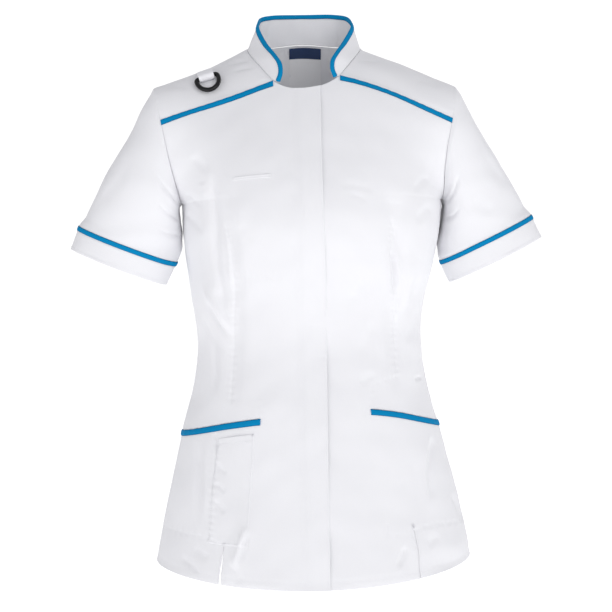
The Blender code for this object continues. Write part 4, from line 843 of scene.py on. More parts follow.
def make_mesh(name, points, quads, places, look):
    """A mesh of four-sided faces with a map, linked as an object."""
    mesh = bpy.data.meshes.new(name)
    mesh.vertices.add(len(points))
    mesh.vertices.foreach_set("co", points.astype(np.float32).ravel())
    mesh.loops.add(quads.size)
    mesh.loops.foreach_set("vertex_index", quads.astype(np.int32).ravel())
    mesh.polygons.add(len(quads))
    mesh.polygons.foreach_set("loop_start", np.arange(0, quads.size, 4, dtype=np.int32))
    mesh.polygons.foreach_set("use_smooth", np.ones(len(quads), dtype=bool))
    layer = mesh.uv_layers.new(name="cloth_map")
    layer.data.foreach_set("uv", places[quads.ravel()].astype(np.float32).ravel())
    mesh.update(calc_edges=True)
    mesh.validate()
    mesh.materials.append(material(look))
    item = bpy.data.objects.new(name, mesh)
    bpy.context.scene.collection.objects.link(item)
    return item


def rim_of(quads, count):
    """Faces round every open edge of a surface, from its outer points to its inner ones."""
    edges = np.concatenate([quads[:, [0, 1]], quads[:, [1, 2]], quads[:, [2, 3]], quads[:, [3, 0]]])
    key, back_key = edges[:, 0] * count + edges[:, 1], edges[:, 1] * count + edges[:, 0]
    a, b = edges[~np.isin(key, back_key)].T
    return np.stack([b, a, a + count, b + count], axis=-1)


def shell(name, grid, thick, look, outward, closed=False, cuts=(), edges=(1, 1, 1, 1)):
    """A thin wall: the grid, a copy moved in along its normals, rounded edges and slits.

    edges gives how round its first and last row and its first and last column are.
    """
    grid = edge_lines(grid, thick, closed)
    normals = grid_normals(grid, closed)
    middle = grid.reshape(-1, 3).mean(axis=0) if outward is None else np.asarray(outward)
    flip = np.median(np.sum(normals * (grid - middle), axis=-1)) < 0
    normals = -normals if flip else normals
    roll = edge_roll(grid, thick, closed, edges)[..., None]
    u, v = measures(grid)
    rows, columns = grid.shape[:2]
    cells = faces_of(rows, columns, closed)
    outer = (grid - normals * roll).reshape(-1, 3)
    inner = (grid - normals * (thick - roll)).reshape(-1, 3)
    places = np.stack([u, v], axis=-1).reshape(-1, 2)
    for cut in cuts:
        outer, inner, places = cut(cells, outer, inner, places, (rows, columns))
    quads = cells.reshape(-1, 4)
    if flip:
        quads = quads[:, ::-1]
    rim = rim_of(quads, len(outer))
    quads = np.concatenate([quads, quads[:, ::-1] + len(outer), rim])
    points = np.concatenate([outer, inner])
    item = make_mesh(name, points, quads, np.concatenate([places, places]), look)
    # Distance to the first or last row, read by the trim material for its painted edge shade.
    rim_off = np.zeros(len(outer))
    rim_off[:v.size] = np.minimum(v, v[-1:] - v).ravel()
    layer = item.data.attributes.new("rim", "FLOAT", "POINT")
    layer.data.foreach_set("value", np.concatenate([rim_off, rim_off]).astype(np.float32))
    return item


def ride(piece, slot, *nodes, body_name="garment"):
    """Ties a piece to its body and hides the solids that it stands for; slot is not used."""
    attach(piece, body_name)
    if nodes:
        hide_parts(*nodes)


def declare_sheet(grid, closed):
    """Measures the flat cut of a panel, its longest lines across and along and its area, without keeping
    them.
    """
    u, v = measures(grid)
    width, length = float(u.max()), float(v.max())
    if closed:
        width += float(np.linalg.norm(grid[:, 0] - grid[:, -1], axis=-1).max())
    side_a = grid[1:, 1:] - grid[:-1, :-1]
    side_b = grid[1:, :-1] - grid[:-1, 1:]
    area = float(np.linalg.norm(np.cross(side_a, side_b), axis=-1).sum() / 2)
    if closed:
        a, b = grid[1:, 0] - grid[:-1, -1], grid[1:, -1] - grid[:-1, 0]
        area += float(np.linalg.norm(np.cross(a, b), axis=-1).sum() / 2)
    width, length = round(width, 4), round(length, 4)
    if min(width, length) < SMALLEST_SHEET:
        return
    area = min(area, 0.999 * width * length)


def make_piece(name, grid, thick, look, slot, nodes, rests_on, outward, closed=False, held="hung", **wall):
    """A wall of cloth on the garment, tied to its solids, with its flat cut measured."""
    item = shell(name, grid, thick, look, outward, closed, **wall)
    ride(item, slot, *nodes)
    declare_sheet(grid, closed)


# A wave texture's scale for bands one metre apart, and the thread's twist
WAVE_SCALE = 0.314
THREAD_TWIST = 0.0007


class Maker:
    """Builds a node material step by step."""

    def __init__(self, name, colour, roughness):
        """A Principled material with its map coordinates."""
        self.material = bpy.data.materials.new(name)
        self.material.use_nodes = True
        self.tree = self.material.node_tree
        self.shader = self.tree.nodes["Principled BSDF"]
        self.shader.inputs["Base Color"].default_value = (*colour, 1.0)
        self.shader.inputs["Roughness"].default_value = roughness
        self.uv = self.tree.nodes.new("ShaderNodeUVMap")
        self.uv.uv_map = "cloth_map"
        self.place = self.tree.nodes.new("ShaderNodeTexCoord")

    def node(self, kind, links=(), **values):
        """One node with its socket values and its links."""
        made = self.tree.nodes.new(kind)
        for key, value in values.items():
            if hasattr(made, key):
                setattr(made, key, value)
            else:
                made.inputs[key.replace("_", " ").title()].default_value = value
        for socket, source in links:
            self.tree.links.new(source, made.inputs[socket])
        return made

    def join(self, source, socket):
        """Links a node's output to a socket of the shader."""
        self.tree.links.new(source, self.shader.inputs[socket])

    def bump(self, height, distance, strength):
        """Joins a bump to the shader's normal."""
        made = self.node("ShaderNodeBump", [("Height", height)], distance=distance, strength=strength)
        self.join(made.outputs["Normal"], "Normal")

    def blend(self, colour, other, scale, detail=2.0):
        """A colour that drifts between two tones over the object."""
        noise = self.node("ShaderNodeTexNoise", [("Vector", self.place.outputs["Object"])], scale=scale,
                          detail=detail)
        mix = self.node("ShaderNodeMix", [("Factor", noise.outputs["Fac"])], data_type="RGBA",
                        a=(*colour, 1.0), b=(*other, 1.0))
        return mix.outputs["Result"]

    def times(self, source, share):
        """A colour times a grey share."""
        grey = self.node("ShaderNodeCombineColor", [(c, share) for c in ("Red", "Green", "Blue")])
        links = [("A", source), ("B", grey.outputs["Color"])]
        made = self.node("ShaderNodeMix", links, data_type="RGBA", blend_type="MULTIPLY", factor=1.0)
        return made.outputs["Result"]


def weave(maker, pitch, turn, depth, strength):
    """Bump of a twill: bands that run slanting across the map, broken up by the crossing threads."""
    bands = []
    for angle, width in ((turn, pitch), (turn + math.radians(78), pitch * 0.8)):
        turned = maker.node("ShaderNodeMapping", [("Vector", maker.uv.outputs["UV"])],
                            rotation=(0, 0, angle))
        wave = maker.node("ShaderNodeTexWave", [("Vector", turned.outputs["Vector"])],
                          scale=WAVE_SCALE / width)
        bands.append(wave.outputs["Fac"])
    mixed = maker.node("ShaderNodeMath", [(0, bands[0]), (1, bands[1])], operation="MULTIPLY")
    slub = maker.node("ShaderNodeTexNoise", [("Vector", maker.uv.outputs["UV"])], scale=900.0)
    added = maker.node("ShaderNodeMath", [(0, mixed.outputs[0]), (1, slub.outputs["Fac"])], operation="ADD")
    maker.bump(added.outputs[0], depth, strength)
    return added.outputs[0]


def tone_with_groove_shade(maker, colour, other, height):
    """Base colour that drifts between two near tones, with painted shade between the threads."""
    # Painted shade: the low places of the weave between threads are made darker.
    depth = maker.node("ShaderNodeMapRange", [("Value", height)], from_max=1.6, to_min=0.93, to_max=1.02)
    tone = maker.blend(colour, other, 9.0, 4.0)
    return maker.times(tone, depth.outputs["Result"])


def edge_fold_shade(maker, tone, dark, width):
    """A tone with painted shade near a strip's long edges, where the cloth is folded under."""
    rim = maker.node("ShaderNodeAttribute", attribute_name="rim")
    # Painted shade: darker towards both long edges by the share dark, for the shadow of the fold.
    near = maker.node("ShaderNodeMapRange", [("Value", rim.outputs["Fac"])], from_min=0.25 * width,
                      from_max=width, to_min=dark)
    return maker.times(tone, near.outputs["Result"])


def cloth_material(name, colour, pitch, turn, roughness=0.8, sheen=0.15, drift=0.96, strength=0.35):
    """Woven cloth: a twill bump, a slow drift of tone and a faint sheen."""
    maker = Maker(name, colour, roughness)
    height = weave(maker, pitch, turn, 0.00012, strength)
    maker.join(tone_with_groove_shade(maker, colour, [c * drift for c in colour], height), "Base Color")
    maker.shader.inputs["Sheen Weight"].default_value = sheen
    maker.shader.inputs["Sheen Roughness"].default_value = 0.4
    maker.shader.inputs["Specular IOR Level"].default_value = 0.25
    return maker.material


def trim_material(name, colour, pitch):
    """The contrast strips' cloth: matt, with painted shade along its folded edges."""
    maker = Maker(name, colour, 0.7)
    height = weave(maker, pitch, math.radians(45), 0.0001, 0.3)
    tone = tone_with_groove_shade(maker, colour, [c * 0.9 for c in colour], height)
    maker.join(edge_fold_shade(maker, tone, 0.52, 0.0014), "Base Color")
    maker.shader.inputs["Specular IOR Level"].default_value = 0.06
    return maker.material


def plastic_material(name, colour):
    """Moulded black plastic: satin gloss with fine unevenness."""
    maker = Maker(name, colour, 0.32)
    maker.shader.inputs["Specular IOR Level"].default_value = 0.3
    noise = maker.node("ShaderNodeTexNoise", [("Vector", maker.place.outputs["Object"])], scale=700.0,
                       detail=3.0)
    maker.bump(noise.outputs["Fac"], 0.00006, 0.4)
    rough = maker.node("ShaderNodeMapRange", [("Value", noise.outputs["Fac"])], to_min=0.26, to_max=0.42)
    maker.join(rough.outputs["Result"], "Roughness")
    return maker.material


def thread_material(name, colour):
    """Sewing thread: a twist along each stitch."""
    maker = Maker(name, colour, 0.55)
    wave = maker.node("ShaderNodeTexWave", [("Vector", maker.uv.outputs["UV"])],
                      scale=WAVE_SCALE / THREAD_TWIST, bands_direction="DIAGONAL")
    maker.bump(wave.outputs["Fac"], 0.00008, 0.5)
    maker.join(maker.blend(colour, [c * 0.94 for c in colour], 60.0), "Base Color")
    maker.shader.inputs["Sheen Weight"].default_value = 0.2
    return maker.material


def material(name):
    """A material of the tunic by name, made when it is first asked for."""
    found = bpy.data.materials.get(name)
    if found:
        return found
    looks = bpy.context.scene.tunic_looks
    cloth, label, band = looks.cloth_colour, looks.label_colour, looks.label_band_colour
    pitch = looks.weave_pitch
    makers = {
        "white_twill": lambda: cloth_material(name, cloth, pitch, math.radians(62)),
        "white_twill_bias": lambda: cloth_material(name, cloth, pitch, math.radians(20)),
        "blue_trim": lambda: trim_material(name, looks.trim_colour, pitch * 0.8),
        "label_satin": lambda: cloth_material(name, label, pitch * 0.6, 0.0, 0.5, 0.1, 0.97),
        "label_navy": lambda: cloth_material(name, band, pitch * 0.6, 0.0, 0.5, 0.1, 0.8),
        "loop_tape": lambda: cloth_material(name, cloth, pitch * 1.6, 0.0, 0.7, 0.1, 0.96, 0.6),
        "white_thread": lambda: thread_material(name, looks.thread_colour),
        "black_plastic": lambda: plastic_material(name, looks.ring_colour),
    }
    return makers[name]()


def slit_column(column, top, opening):
    """A slit up a grid column from its foot to a row, widest at the foot."""
    def cut(cells, outer, inner, places, shape):
        """Parts the cells on either side of the slit."""
        low = np.arange(top)
        at = low * shape[1] + column
        across = unit(outer[at + 1] - outer[at - 1])
        wide = (GAP + (opening - GAP) * (1 - low / top))[:, None] / 2
        fresh = len(outer) + low
        outer = np.concatenate([outer, outer[at] + across * wide])
        inner = np.concatenate([inner, inner[at] + across * wide])
        places = np.concatenate([places, places[at]])
        outer[at] -= across * wide
        inner[at] -= across * wide
        cells[low, column, 0] = fresh
        cells[low[:-1], column, 3] = fresh[1:]
        return outer, inner, places
    return cut


def slit_row(row, first, opening):
    """A slit along a grid row from a column to the side edge."""
    def cut(cells, outer, inner, places, shape):
        """Parts the cells above and below the slit."""
        wide = np.arange(first + 1, shape[1])
        at = row * shape[1] + wide
        up = unit(outer[at + shape[1]] - outer[at - shape[1]]) * opening / 2
        fresh = len(outer) + np.arange(len(wide))
        outer = np.concatenate([outer, outer[at] + up])
        inner = np.concatenate([inner, inner[at] + up])
        places = np.concatenate([places, places[at]])
        outer[at] -= up
        inner[at] -= up
        cells[row, first:, 1] = fresh
        cells[row, first + 1:, 0] = fresh[:-1]
        return outer, inner, places
    return cut


def with_marks(low, high, step, marks):
    """Evenly spread values from low to high that also hold the marks."""
    stops = np.unique(np.concatenate([[low, high], [m for m in marks if low < m < high]]))
    count = lambda span: max(2, int(round(span / step)) + 1)
    runs = [np.linspace(a, b, count(b - a))[:-1] for a, b in zip(stops, stops[1:])]
    return np.concatenate([*runs, [high]])


def front_columns(side, rows, columns):
    """Columns of a front: first lines at fixed x across the lap, then the body's own columns."""
    edge = -through(LAP_LINE, "row", "x", rows) if side < 0 else UNDERLAP_EDGE + 0 * rows
    lines = []
    for share in np.linspace(0, 1, LAP_LINES):
        x = edge - (edge + LAP_FOOT) * share
        column = column_at(x, rows, False)
        for _ in range(3):
            column = column_at(x, front_row(column, rows, side), False)
        lines.append(column)
    lines = np.stack(lines, axis=-1)
    blend = np.linspace(0, 1, 6)[1:-1]
    between = lines[:, -1:] + (columns[0] - lines[:, -1:]) * blend
    wide = np.broadcast_to(columns, (len(rows), len(columns)))
    return np.hstack([lines, between, wide])


def front_grid(side):
    """Columns, rows and the facts of one front on a fine grid."""
    facts = FRONT_FACTS[side]
    marks = (facts["vent_top"], facts["mouth_low"], facts["mouth_top"], UNDERARM, PIPING_ROW)
    rows = with_marks(HEM, YOKE_ROW, ROW_STEP, marks)
    columns = with_marks(FRONT_NECK, 1.0, COLUMN_STEP, (facts["vent"], facts["mouth"]))
    column = front_columns(side, rows, columns)
    return column, np.broadcast_to(rows[:, None], column.shape), facts


def make_front(side):
    """One front with its vent and pocket mouth."""
    word = WORDS[side]
    column, row, facts = front_grid(side)
    column_of = lambda key: int(np.argmin(np.abs(column[0] - facts[key]))) + EDGE_LINES
    row_of = lambda key: int(np.argmin(np.abs(row[:, 0] - facts[key]))) + EDGE_LINES
    cuts = (slit_column(column_of("vent"), row_of("vent_top"), facts["vent_open"]),
            slit_row(row_of("mouth_top"), column_of("mouth"), MOUTH_OPEN))
    make_piece(f"front_{word}_cloth", front(side, column, row), CLOTH, "white_twill", "cloth",
               [f"front_{word}"], [f"yoke_{word}"], (0.0, 0.05, -0.4), cuts=cuts, edges=(1, SEWN, 1, SEWN))


def make_back():
    """The back in one piece."""
    rows = with_marks(HEM, YOKE_ROW, BACK_ROW_STEP, (UNDERARM,))
    half = with_marks(0.0, 1.0, BACK_COLUMN_STEP, (BACK_NECK,))
    column, row = np.meshgrid(half, rows)
    right, left = back(-1, column, row), back(1, column, row)
    middle = (right[:, :1] + left[:, :1]) / 2
    grid = np.hstack([right[:, :0:-1], middle, left[:, 1:]])
    make_piece("back_cloth", grid, CLOTH, "white_twill", "cloth", ["back"], ["yoke_left", "yoke_right"],
               (0.0, -0.05, -0.4), edges=(1, SEWN, SEWN, SEWN))


def make_yoke(side):
    """One yoke."""
    word = WORDS[side]
    share, over = np.meshgrid(*(np.linspace(0, 1, count) for count in YOKE_LINES))
    make_piece(f"yoke_{word}_cloth", shoulder(side, share, over), CLOTH, "white_twill_bias", "cloth",
               [f"yoke_{word}"], [f"front_{word}", "back"], (side * 0.14, 0.0, -0.15), edges=(SEWN,) * 4)


def cuff(side, turn, back_off, lift):
    """Rings of the cuff, moved out along the ellipse's own normals by a lift."""
    k = int(side > 0)
    outward, forward, way = cuff_axes(side)
    angle, rear = turn_parts(turn)
    ring = cuff_ring(angle, rear, back_off, side)
    spoke = ring - np.array([CUFFS[c][k] for c in "xyz"])
    spoke = spoke - (spoke @ way)[..., None] * way
    slant = 0.0
    for axis, half in ((outward, CUFFS["half_width"][k]), (forward, CUFF_HALF_DEPTH)):
        slant = slant + (spoke @ unit(axis))[..., None] / half ** 2 * unit(axis)
    return placed(ring + unit(slant) * np.asarray(lift)[..., None], side)


def make_sleeve(side):
    """One sleeve, its cuff band and piping."""
    word = WORDS[side]
    count, lines = SLEEVE_LINES
    turn, along = np.meshgrid(np.arange(count) / count, np.linspace(0, 1, lines))
    make_piece(f"sleeve_{word}_cloth", arm(side, turn, along), CLOTH, "white_twill", "cloth",
               [f"sleeve_{word}"], [f"front_{word}", f"yoke_{word}", "back"], (side * 0.22, 0.0, -0.17),
               closed=True, edges=(SEWN, SEWN))

    count, lines = CUFF_LINES
    centre = (side * CUFFS["x"][int(side > 0)], 0.0, CUFFS["z"][int(side > 0)])
    turn, off = np.meshgrid(np.arange(count) / count, np.linspace(CUFF_BAND - GAP, 0.0, lines))
    wave = 0.0004 * np.sin(2 * np.pi * (turn * 5 + 0.3 * np.sin(off * 90))) * (1 - off / CUFF_BAND)
    wave += pucker(off - 0.0035, turn * CUFF_GIRTH, SEWN_DIP)
    make_piece(f"cuff_{word}_cloth", cuff(side, turn, off, wave), CLOTH, "white_twill_bias", "cloth",
               [f"cuff_band_{word}"], [f"sleeve_{word}"], centre, closed=True, edges=(SEWN, 1))

    turn, t = np.meshgrid(np.arange(count) / count, np.linspace(0, 1, 7))
    lift = GAP + TRIM * (0.45 + 0.55 * np.sin(np.pi * t) ** 0.6)
    make_piece(f"cuff_{word}_piping", cuff(side, turn, CUFF_BAND - PIPING * t, lift), TRIM, "blue_trim",
               "trim_cloth", [f"cuff_piping_{word}"], [f"sleeve_{word}", f"cuff_band_{word}"], centre,
               closed=True)


def strip(name, side, u, v, lift, look, slot, node):
    """A flat piece on a front: the front's own points moved out along its normals."""
    surface = lambda a, b: front(side, a, np.minimum(b, YOKE_ROW))
    inner_v = np.minimum(v, YOKE_ROW - 2e-4)
    grid = surface(u, v) + normals_of(surface, u, inner_v, side) * lift[..., None]
    make_piece(name, grid, TRIM, look, slot, [node], [f"front_{WORDS[side]}"], (0.0, 0.1, float(v.mean())))


def make_piping(side, place, columns, low, top):
    """A flat contrast strip on a front, domed across, with a slow unevenness along it."""
    word = WORDS[side]
    column, row = np.meshgrid(columns, np.linspace(low, top, 8))
    across = (row - low) / (top - low)
    dome = TRIM * (0.5 + 0.7 * np.sin(np.pi * across) ** 0.6)
    lift = GAP + dome + 0.0002 * np.sin(column * 85)
    strip(f"{place}_{word}_piping", side, column, row, lift, "blue_trim", "trim_cloth",
          f"{place}_piping_{word}")


def make_bag(name, side, columns, rows, node):
    """A flat pocket bag behind a front."""
    column, row = np.meshgrid(columns, rows)
    strip(name, side, column, row, np.full(column.shape, -BAG_DEPTH), "white_twill", "cloth", node)


def make_hip_pocket(side):
    """The bag behind a front's hip pocket."""
    facts, word = FRONT_FACTS[side], WORDS[side]
    make_bag(f"hip_{word}_bag", side, np.linspace(facts["mouth"], 0.94, 46),
             np.linspace(facts["vent_top"], facts["mouth_top"] + 0.035, 46), f"hip_pocket_{word}")


def make_chest_pocket():
    """The chest slit's narrow welt and the bag behind it."""
    columns = np.linspace(CHEST_NEAR, CHEST_FAR, 60)
    column, row = np.meshgrid(columns, np.linspace(CHEST_LOW, CHEST_TOP, 8))
    across = (row - CHEST_LOW) / (CHEST_TOP - CHEST_LOW)
    ends = smooth((column - CHEST_NEAR) / 0.02) * smooth((CHEST_FAR - column) / 0.02)
    lift = TRIM * (0.1 + 0.9 * ends * (0.3 + 0.7 * smooth(across / 0.8)))
    strip("chest_pocket_welt", -1, column, row, lift, "white_twill_bias", "cloth", "chest_welt")
    make_bag("chest_pocket_bag", -1, np.linspace(CHEST_NEAR, CHEST_FAR, 30),
             np.linspace(CHEST_FOOT, CHEST_TOP, 50), "chest_pocket")


def make_pen_pocket():
    """The pen pocket's patch on the right front."""
    rows = np.linspace(PEN_FOOT, PEN_TOP - 0.0015, 90)
    column, row = np.meshgrid(np.linspace(PEN_NEAR, PEN_FAR, 60), rows)
    t = (column - PEN_NEAR) / (PEN_FAR - PEN_NEAR)
    edge = np.minimum(np.minimum(t, 1 - t) * 0.055, row - PEN_FOOT)
    gape = 0.0008 * np.sin(np.pi * t) ** 2 * smooth((row - PEN_TOP + 0.05) / 0.05)
    lift = TRIM * (0.45 + 0.55 * smooth(edge / 0.003)) + gape
    lift = lift + 0.5 * pucker(PEN_TOP - row - 0.009, t * 0.05, 0.0004)
    strip("pen_pocket_patch", -1, column, row, lift, "white_twill", "cloth", "pen_pocket")


def collar_seam(count):
    """The collar's seam from its right front end over the back to its left front end."""
    over = np.linspace(0, 1, count)
    zero = np.zeros(count)
    right = shoulder(-1, zero, over, relief=False)
    left = shoulder(1, zero, over, relief=False)
    half = np.linspace(BACK_NECK, 0.0, count // 3)
    top = np.full(half.shape, YOKE_ROW)
    rear_right = back(-1, half, top, relief=False)
    rear_left = back(1, half, top, relief=False)
    share_side = YOKE_SHARE_OF_COLLAR * over
    share_back = YOKE_SHARE_OF_COLLAR + (1 - YOKE_SHARE_OF_COLLAR) * (1 - half / BACK_NECK)
    seam = np.vstack([right, rear_right[1:], rear_left[::-1][1:], left[::-1][1:]])
    share = np.concatenate([share_side, share_back[1:], share_back[::-1][1:], share_side[::-1][1:]])
    side = np.concatenate([-np.ones(count + len(half) - 1), np.ones(count + len(half) - 2)])
    side[count + len(half) - 2] = 0.0
    return seam, share, side


def outward_normals(points):
    """Normals of an open grid that point away from the origin."""
    normals = grid_normals(points, False)
    return normals * np.sign(np.median(np.sum(normals * points, axis=-1)))


def collar_form(level):
    """Rows of the collar from its seam (level 0) to its top edge (1), with slow waves between."""
    seam, share, side = collar_seam(54)
    top = settle(collar_top(share, side))
    for ends in (seam, top):
        ends[0] = 0.97 * ends[0] + 0.03 * ends[1]
        ends[-1] = 0.97 * ends[-1] + 0.03 * ends[-2]
    height = np.linalg.norm(top - seam, axis=-1)
    points = seam + level[:, None, None] * (top - seam)
    run = np.concatenate([[0.0], np.cumsum(np.linalg.norm(np.diff(seam, axis=0), axis=-1))])
    wave = 0.0006 * np.sin(2 * np.pi * run / 0.047 + 3 * level[:, None])
    wave = wave * np.sin(np.pi * level)[:, None]
    fine = pucker(level[:, None] * height, np.broadcast_to(run, points.shape[:2]), 0.0005)
    points = points + outward_normals(points) * (wave + fine)[..., None]
    return points, outward_normals(points), height, run


def make_collar():
    """The stand collar and the binding folded over its top edge."""
    points, normals, height, run = collar_form(np.linspace(0.012, 1, COLLAR_LINES))
    make_piece("collar_cloth", points, COLLAR_CLOTH, "white_twill_bias", "cloth", ["collar"],
               ["yoke_left", "yoke_right", "back"], (0.0, 0.0, 0.0), edges=(SEWN, 1, 1, 1))

    top, out, last = points[-1], normals[-1], COLLAR_LINES - 1
    level = np.clip((1 - np.minimum(BINDING, 0.45 * height) / height) * last, 0, last - 0.001)
    k, at = level.astype(int), np.arange(points.shape[1])
    t = (level - k)[:, None]
    low = points[k, at] * (1 - t) + points[k + 1, at] * t
    low_out = unit(normals[k, at] * (1 - t) + normals[k + 1, at] * t)
    rise = unit(top - low)
    uneven = (0.0001 * np.sin(run / 0.004) + 0.0001 * np.sin(run / 0.011))[:, None]
    lift = GAP + BINDING_CLOTH

    def wing(sign, shares):
        """Rows of the binding up one face of the collar, or down the other."""
        depth = 0.0 if sign > 0 else COLLAR_CLOTH
        for s in shares:
            proud = lift + depth + 0.0004 * np.sin(np.pi * s) + sign * uneven
            yield low + (top - low) * s * 0.94 + sign * unit(low_out + (out - low_out) * s) * proud

    centre = top - out * COLLAR_CLOTH / 2 - rise * 0.0004
    radius = COLLAR_CLOTH / 2 + lift
    fold = [centre + out * radius * np.cos(angle) + rise * radius * np.sin(angle) * 0.9
            for angle in np.radians([30, 60, 90, 120, 150])]
    grid = np.stack([*wing(1, np.linspace(0, 1, 6)), *fold, *wing(-1, np.linspace(1, 0, 6))])
    make_piece("collar_binding_tape", grid, BINDING_CLOTH, "blue_trim", "trim_cloth", ["collar_binding"],
               ["collar"], None, held="folded")


def make_label():
    """The bare label inside the back neck, with its darker top band."""
    for name, look, low, high, nodes, proud in (
            ("neck_label_tape", "label_satin", -0.1020, -0.0720, ["neck_label"], 0.0),
            ("neck_label_band", "label_navy", -0.0738, -0.0636, [], 0.0006)):
        t, row = np.meshgrid(np.linspace(-1, 1, 33), np.linspace(low, high, 30))
        x = LABEL_HALF * t + LABEL_X
        column = column_at(np.abs(x), neck_row(0.1, row, True), True)
        place = np.where((x < 0)[..., None], back(-1, column, row, False), back(1, column, row, False))
        surface = lambda u, v: body(u, v, True)
        normals = normals_of(surface, column, neck_row(column, row, True), -1.0) * stack(np.sign(x), 1.0, 1.0)
        off = CLOTH + 0.0011 + 0.0005 * (1 - t ** 2) + proud + 0.0003 * np.sin(row * 420 + 2 * t)
        make_piece(name, place - normals * off[..., None], LABEL_CLOTH, look, "label_tape", nodes, ["back"],
                   (0.0, 0.5, -0.05))


def ring_frame():
    """Centre of the ring's bar, and the ways along it, down the ring and away from the cloth."""
    here, step = np.array(RING_COLUMN), 1e-3
    over = np.array(RING_SHARE)
    mirror = np.array([-1.0, 1.0, 1.0])
    place = lambda w, s: yoke(w, w, s) * mirror
    normal_at = lambda s: normals_of(lambda u, v: yoke(u, u, v), here, s, 1.0) * mirror
    normal = normal_at(over)
    along = unit(place(here + step, over) - place(here - step, over))
    down = place(here, over - step) - place(here, over + step)
    speed = np.linalg.norm(down) / (2 * step)
    centre = settle(place(here, over) + normal * (2 * GAP + TRIM + TAPE_LOOP))
    reach = RING_HEIGHT - RING_WIRE
    foot_over = over - 0.9 * reach / speed
    rest = normal_at(foot_over) * (RING_WIRE / 2 + RING_REST)
    foot = settle(place(here, foot_over) + rest)
    way = foot - centre
    way = unit(way - along * (way @ along))
    lift = unit(normal - along * (normal @ along) - way * (normal @ way))
    return centre, along, way, lift, speed


def make_ring():
    """The ring: a round wire carried along a straight bar and a bow, with a fine moulding line."""
    centre, along, way, lift, _ = ring_frame()
    half, reach, corner = (RING_WIDTH - RING_WIRE) / 2, RING_HEIGHT - RING_WIRE, RING_CORNER
    straight = half - corner
    bar = np.linspace(-straight, straight, 16)
    bend = np.linspace(-np.pi / 2, 0, 10)[1:]
    right = np.stack([straight + corner * np.cos(bend), corner + corner * np.sin(bend)], axis=-1)
    turn = np.linspace(0, np.pi, 60)[1:-1]
    bow = np.stack([half * np.cos(turn), BOW_START + (reach - BOW_START) * np.sin(turn)], axis=-1)
    outline = np.concatenate([np.stack([bar, 0 * bar], axis=-1), right, bow, right[::-1] * [-1, 1]])
    tangent = unit(np.roll(outline, -1, axis=0) - np.roll(outline, 1, axis=0))
    side_way = np.stack([tangent[:, 1], -tangent[:, 0]], axis=-1)
    around = np.linspace(0, 2 * np.pi, 29)[:-1]
    radius = RING_WIRE / 2 - 0.00012 * np.exp(-(np.sin(around) / 0.1) ** 2) * np.cos(around) ** 2
    flat = outline[:, None] + side_way[:, None] * (radius * np.cos(around))[None, :, None]
    high = np.broadcast_to(radius * np.sin(around), flat.shape[:2])
    grid = centre + flat[..., :1] * along + flat[..., 1:] * way + high[..., None] * lift
    rows, columns = grid.shape[:2]
    index = np.arange(rows * columns).reshape(rows, columns)
    ahead = np.roll(index, -1, 1)
    quads = np.stack([index, ahead, np.roll(ahead, -1, 0), np.roll(index, -1, 0)], axis=-1).reshape(-1, 4)
    points = grid.reshape(-1, 3)
    first = points[quads[0]]
    out = np.cross(first[1] - first[0], first[3] - first[0])
    middle = centre + outline[0, 0] * along + outline[0, 1] * way
    if out @ (first.mean(axis=0) - middle) < 0:
        quads = quads[:, ::-1]
    u, v = np.meshgrid(around * RING_WIRE / 2, np.arange(rows) * 0.0012)
    places = np.stack([u, v], axis=-1).reshape(-1, 2)
    item = make_mesh("d_ring_moulding", points, quads, places, "black_plastic")
    ride(item, "ring_plastic", "d_ring", body_name="ring")


def tape_path():
    """The loop tape's section: along the yoke, round the bar and back over itself."""
    speed = ring_frame()[-1]
    middle = TAPE_LOOP + TRIM / 2
    low = 2 * GAP + TRIM / 2
    rise = low + middle
    length = (TAPE_END - RING_SHARE) * speed
    turns = np.radians(np.linspace(-90, 112, 24))
    path = [(-length * s, low) for s in np.linspace(1, 0.08, 12)]
    path += [(middle * math.cos(a), rise + middle * math.sin(a)) for a in turns]
    top_x, top_y = path[-1]
    for t in np.linspace(0, 1, 13)[1:]:
        ease = 0.5 * t + 0.5 * float(smooth(t))
        path.append((top_x + (-length - top_x) * t, top_y + (low + TRIM + GAP - top_y) * ease))
    return np.array(path), speed


def make_tape():
    """The tape folded round the ring's bar and sewn into the yoke."""
    path, speed = tape_path()
    way_on = unit(np.gradient(path, axis=0))
    flat = path + np.stack([way_on[:, 1], -way_on[:, 0]], axis=-1) * TRIM / 2
    across = np.linspace(-0.5, 0.5, 15) * TAPE_WIDTH / YOKE_WIDTH + RING_COLUMN
    share, over = np.meshgrid(across, RING_SHARE - flat[:, 0] / speed)
    height = np.broadcast_to(flat[:, 1:2], share.shape)
    normals = normals_of(lambda u, v: yoke(u, u, v), share, over, 1.0)
    grid = placed(yoke(share, share, over) + normals * height[..., None], -1)
    make_piece("loop_tape_cloth", grid, TRIM, "loop_tape", "loop_tape", ["ring_tape"], ["yoke_right"], None,
               held="folded")


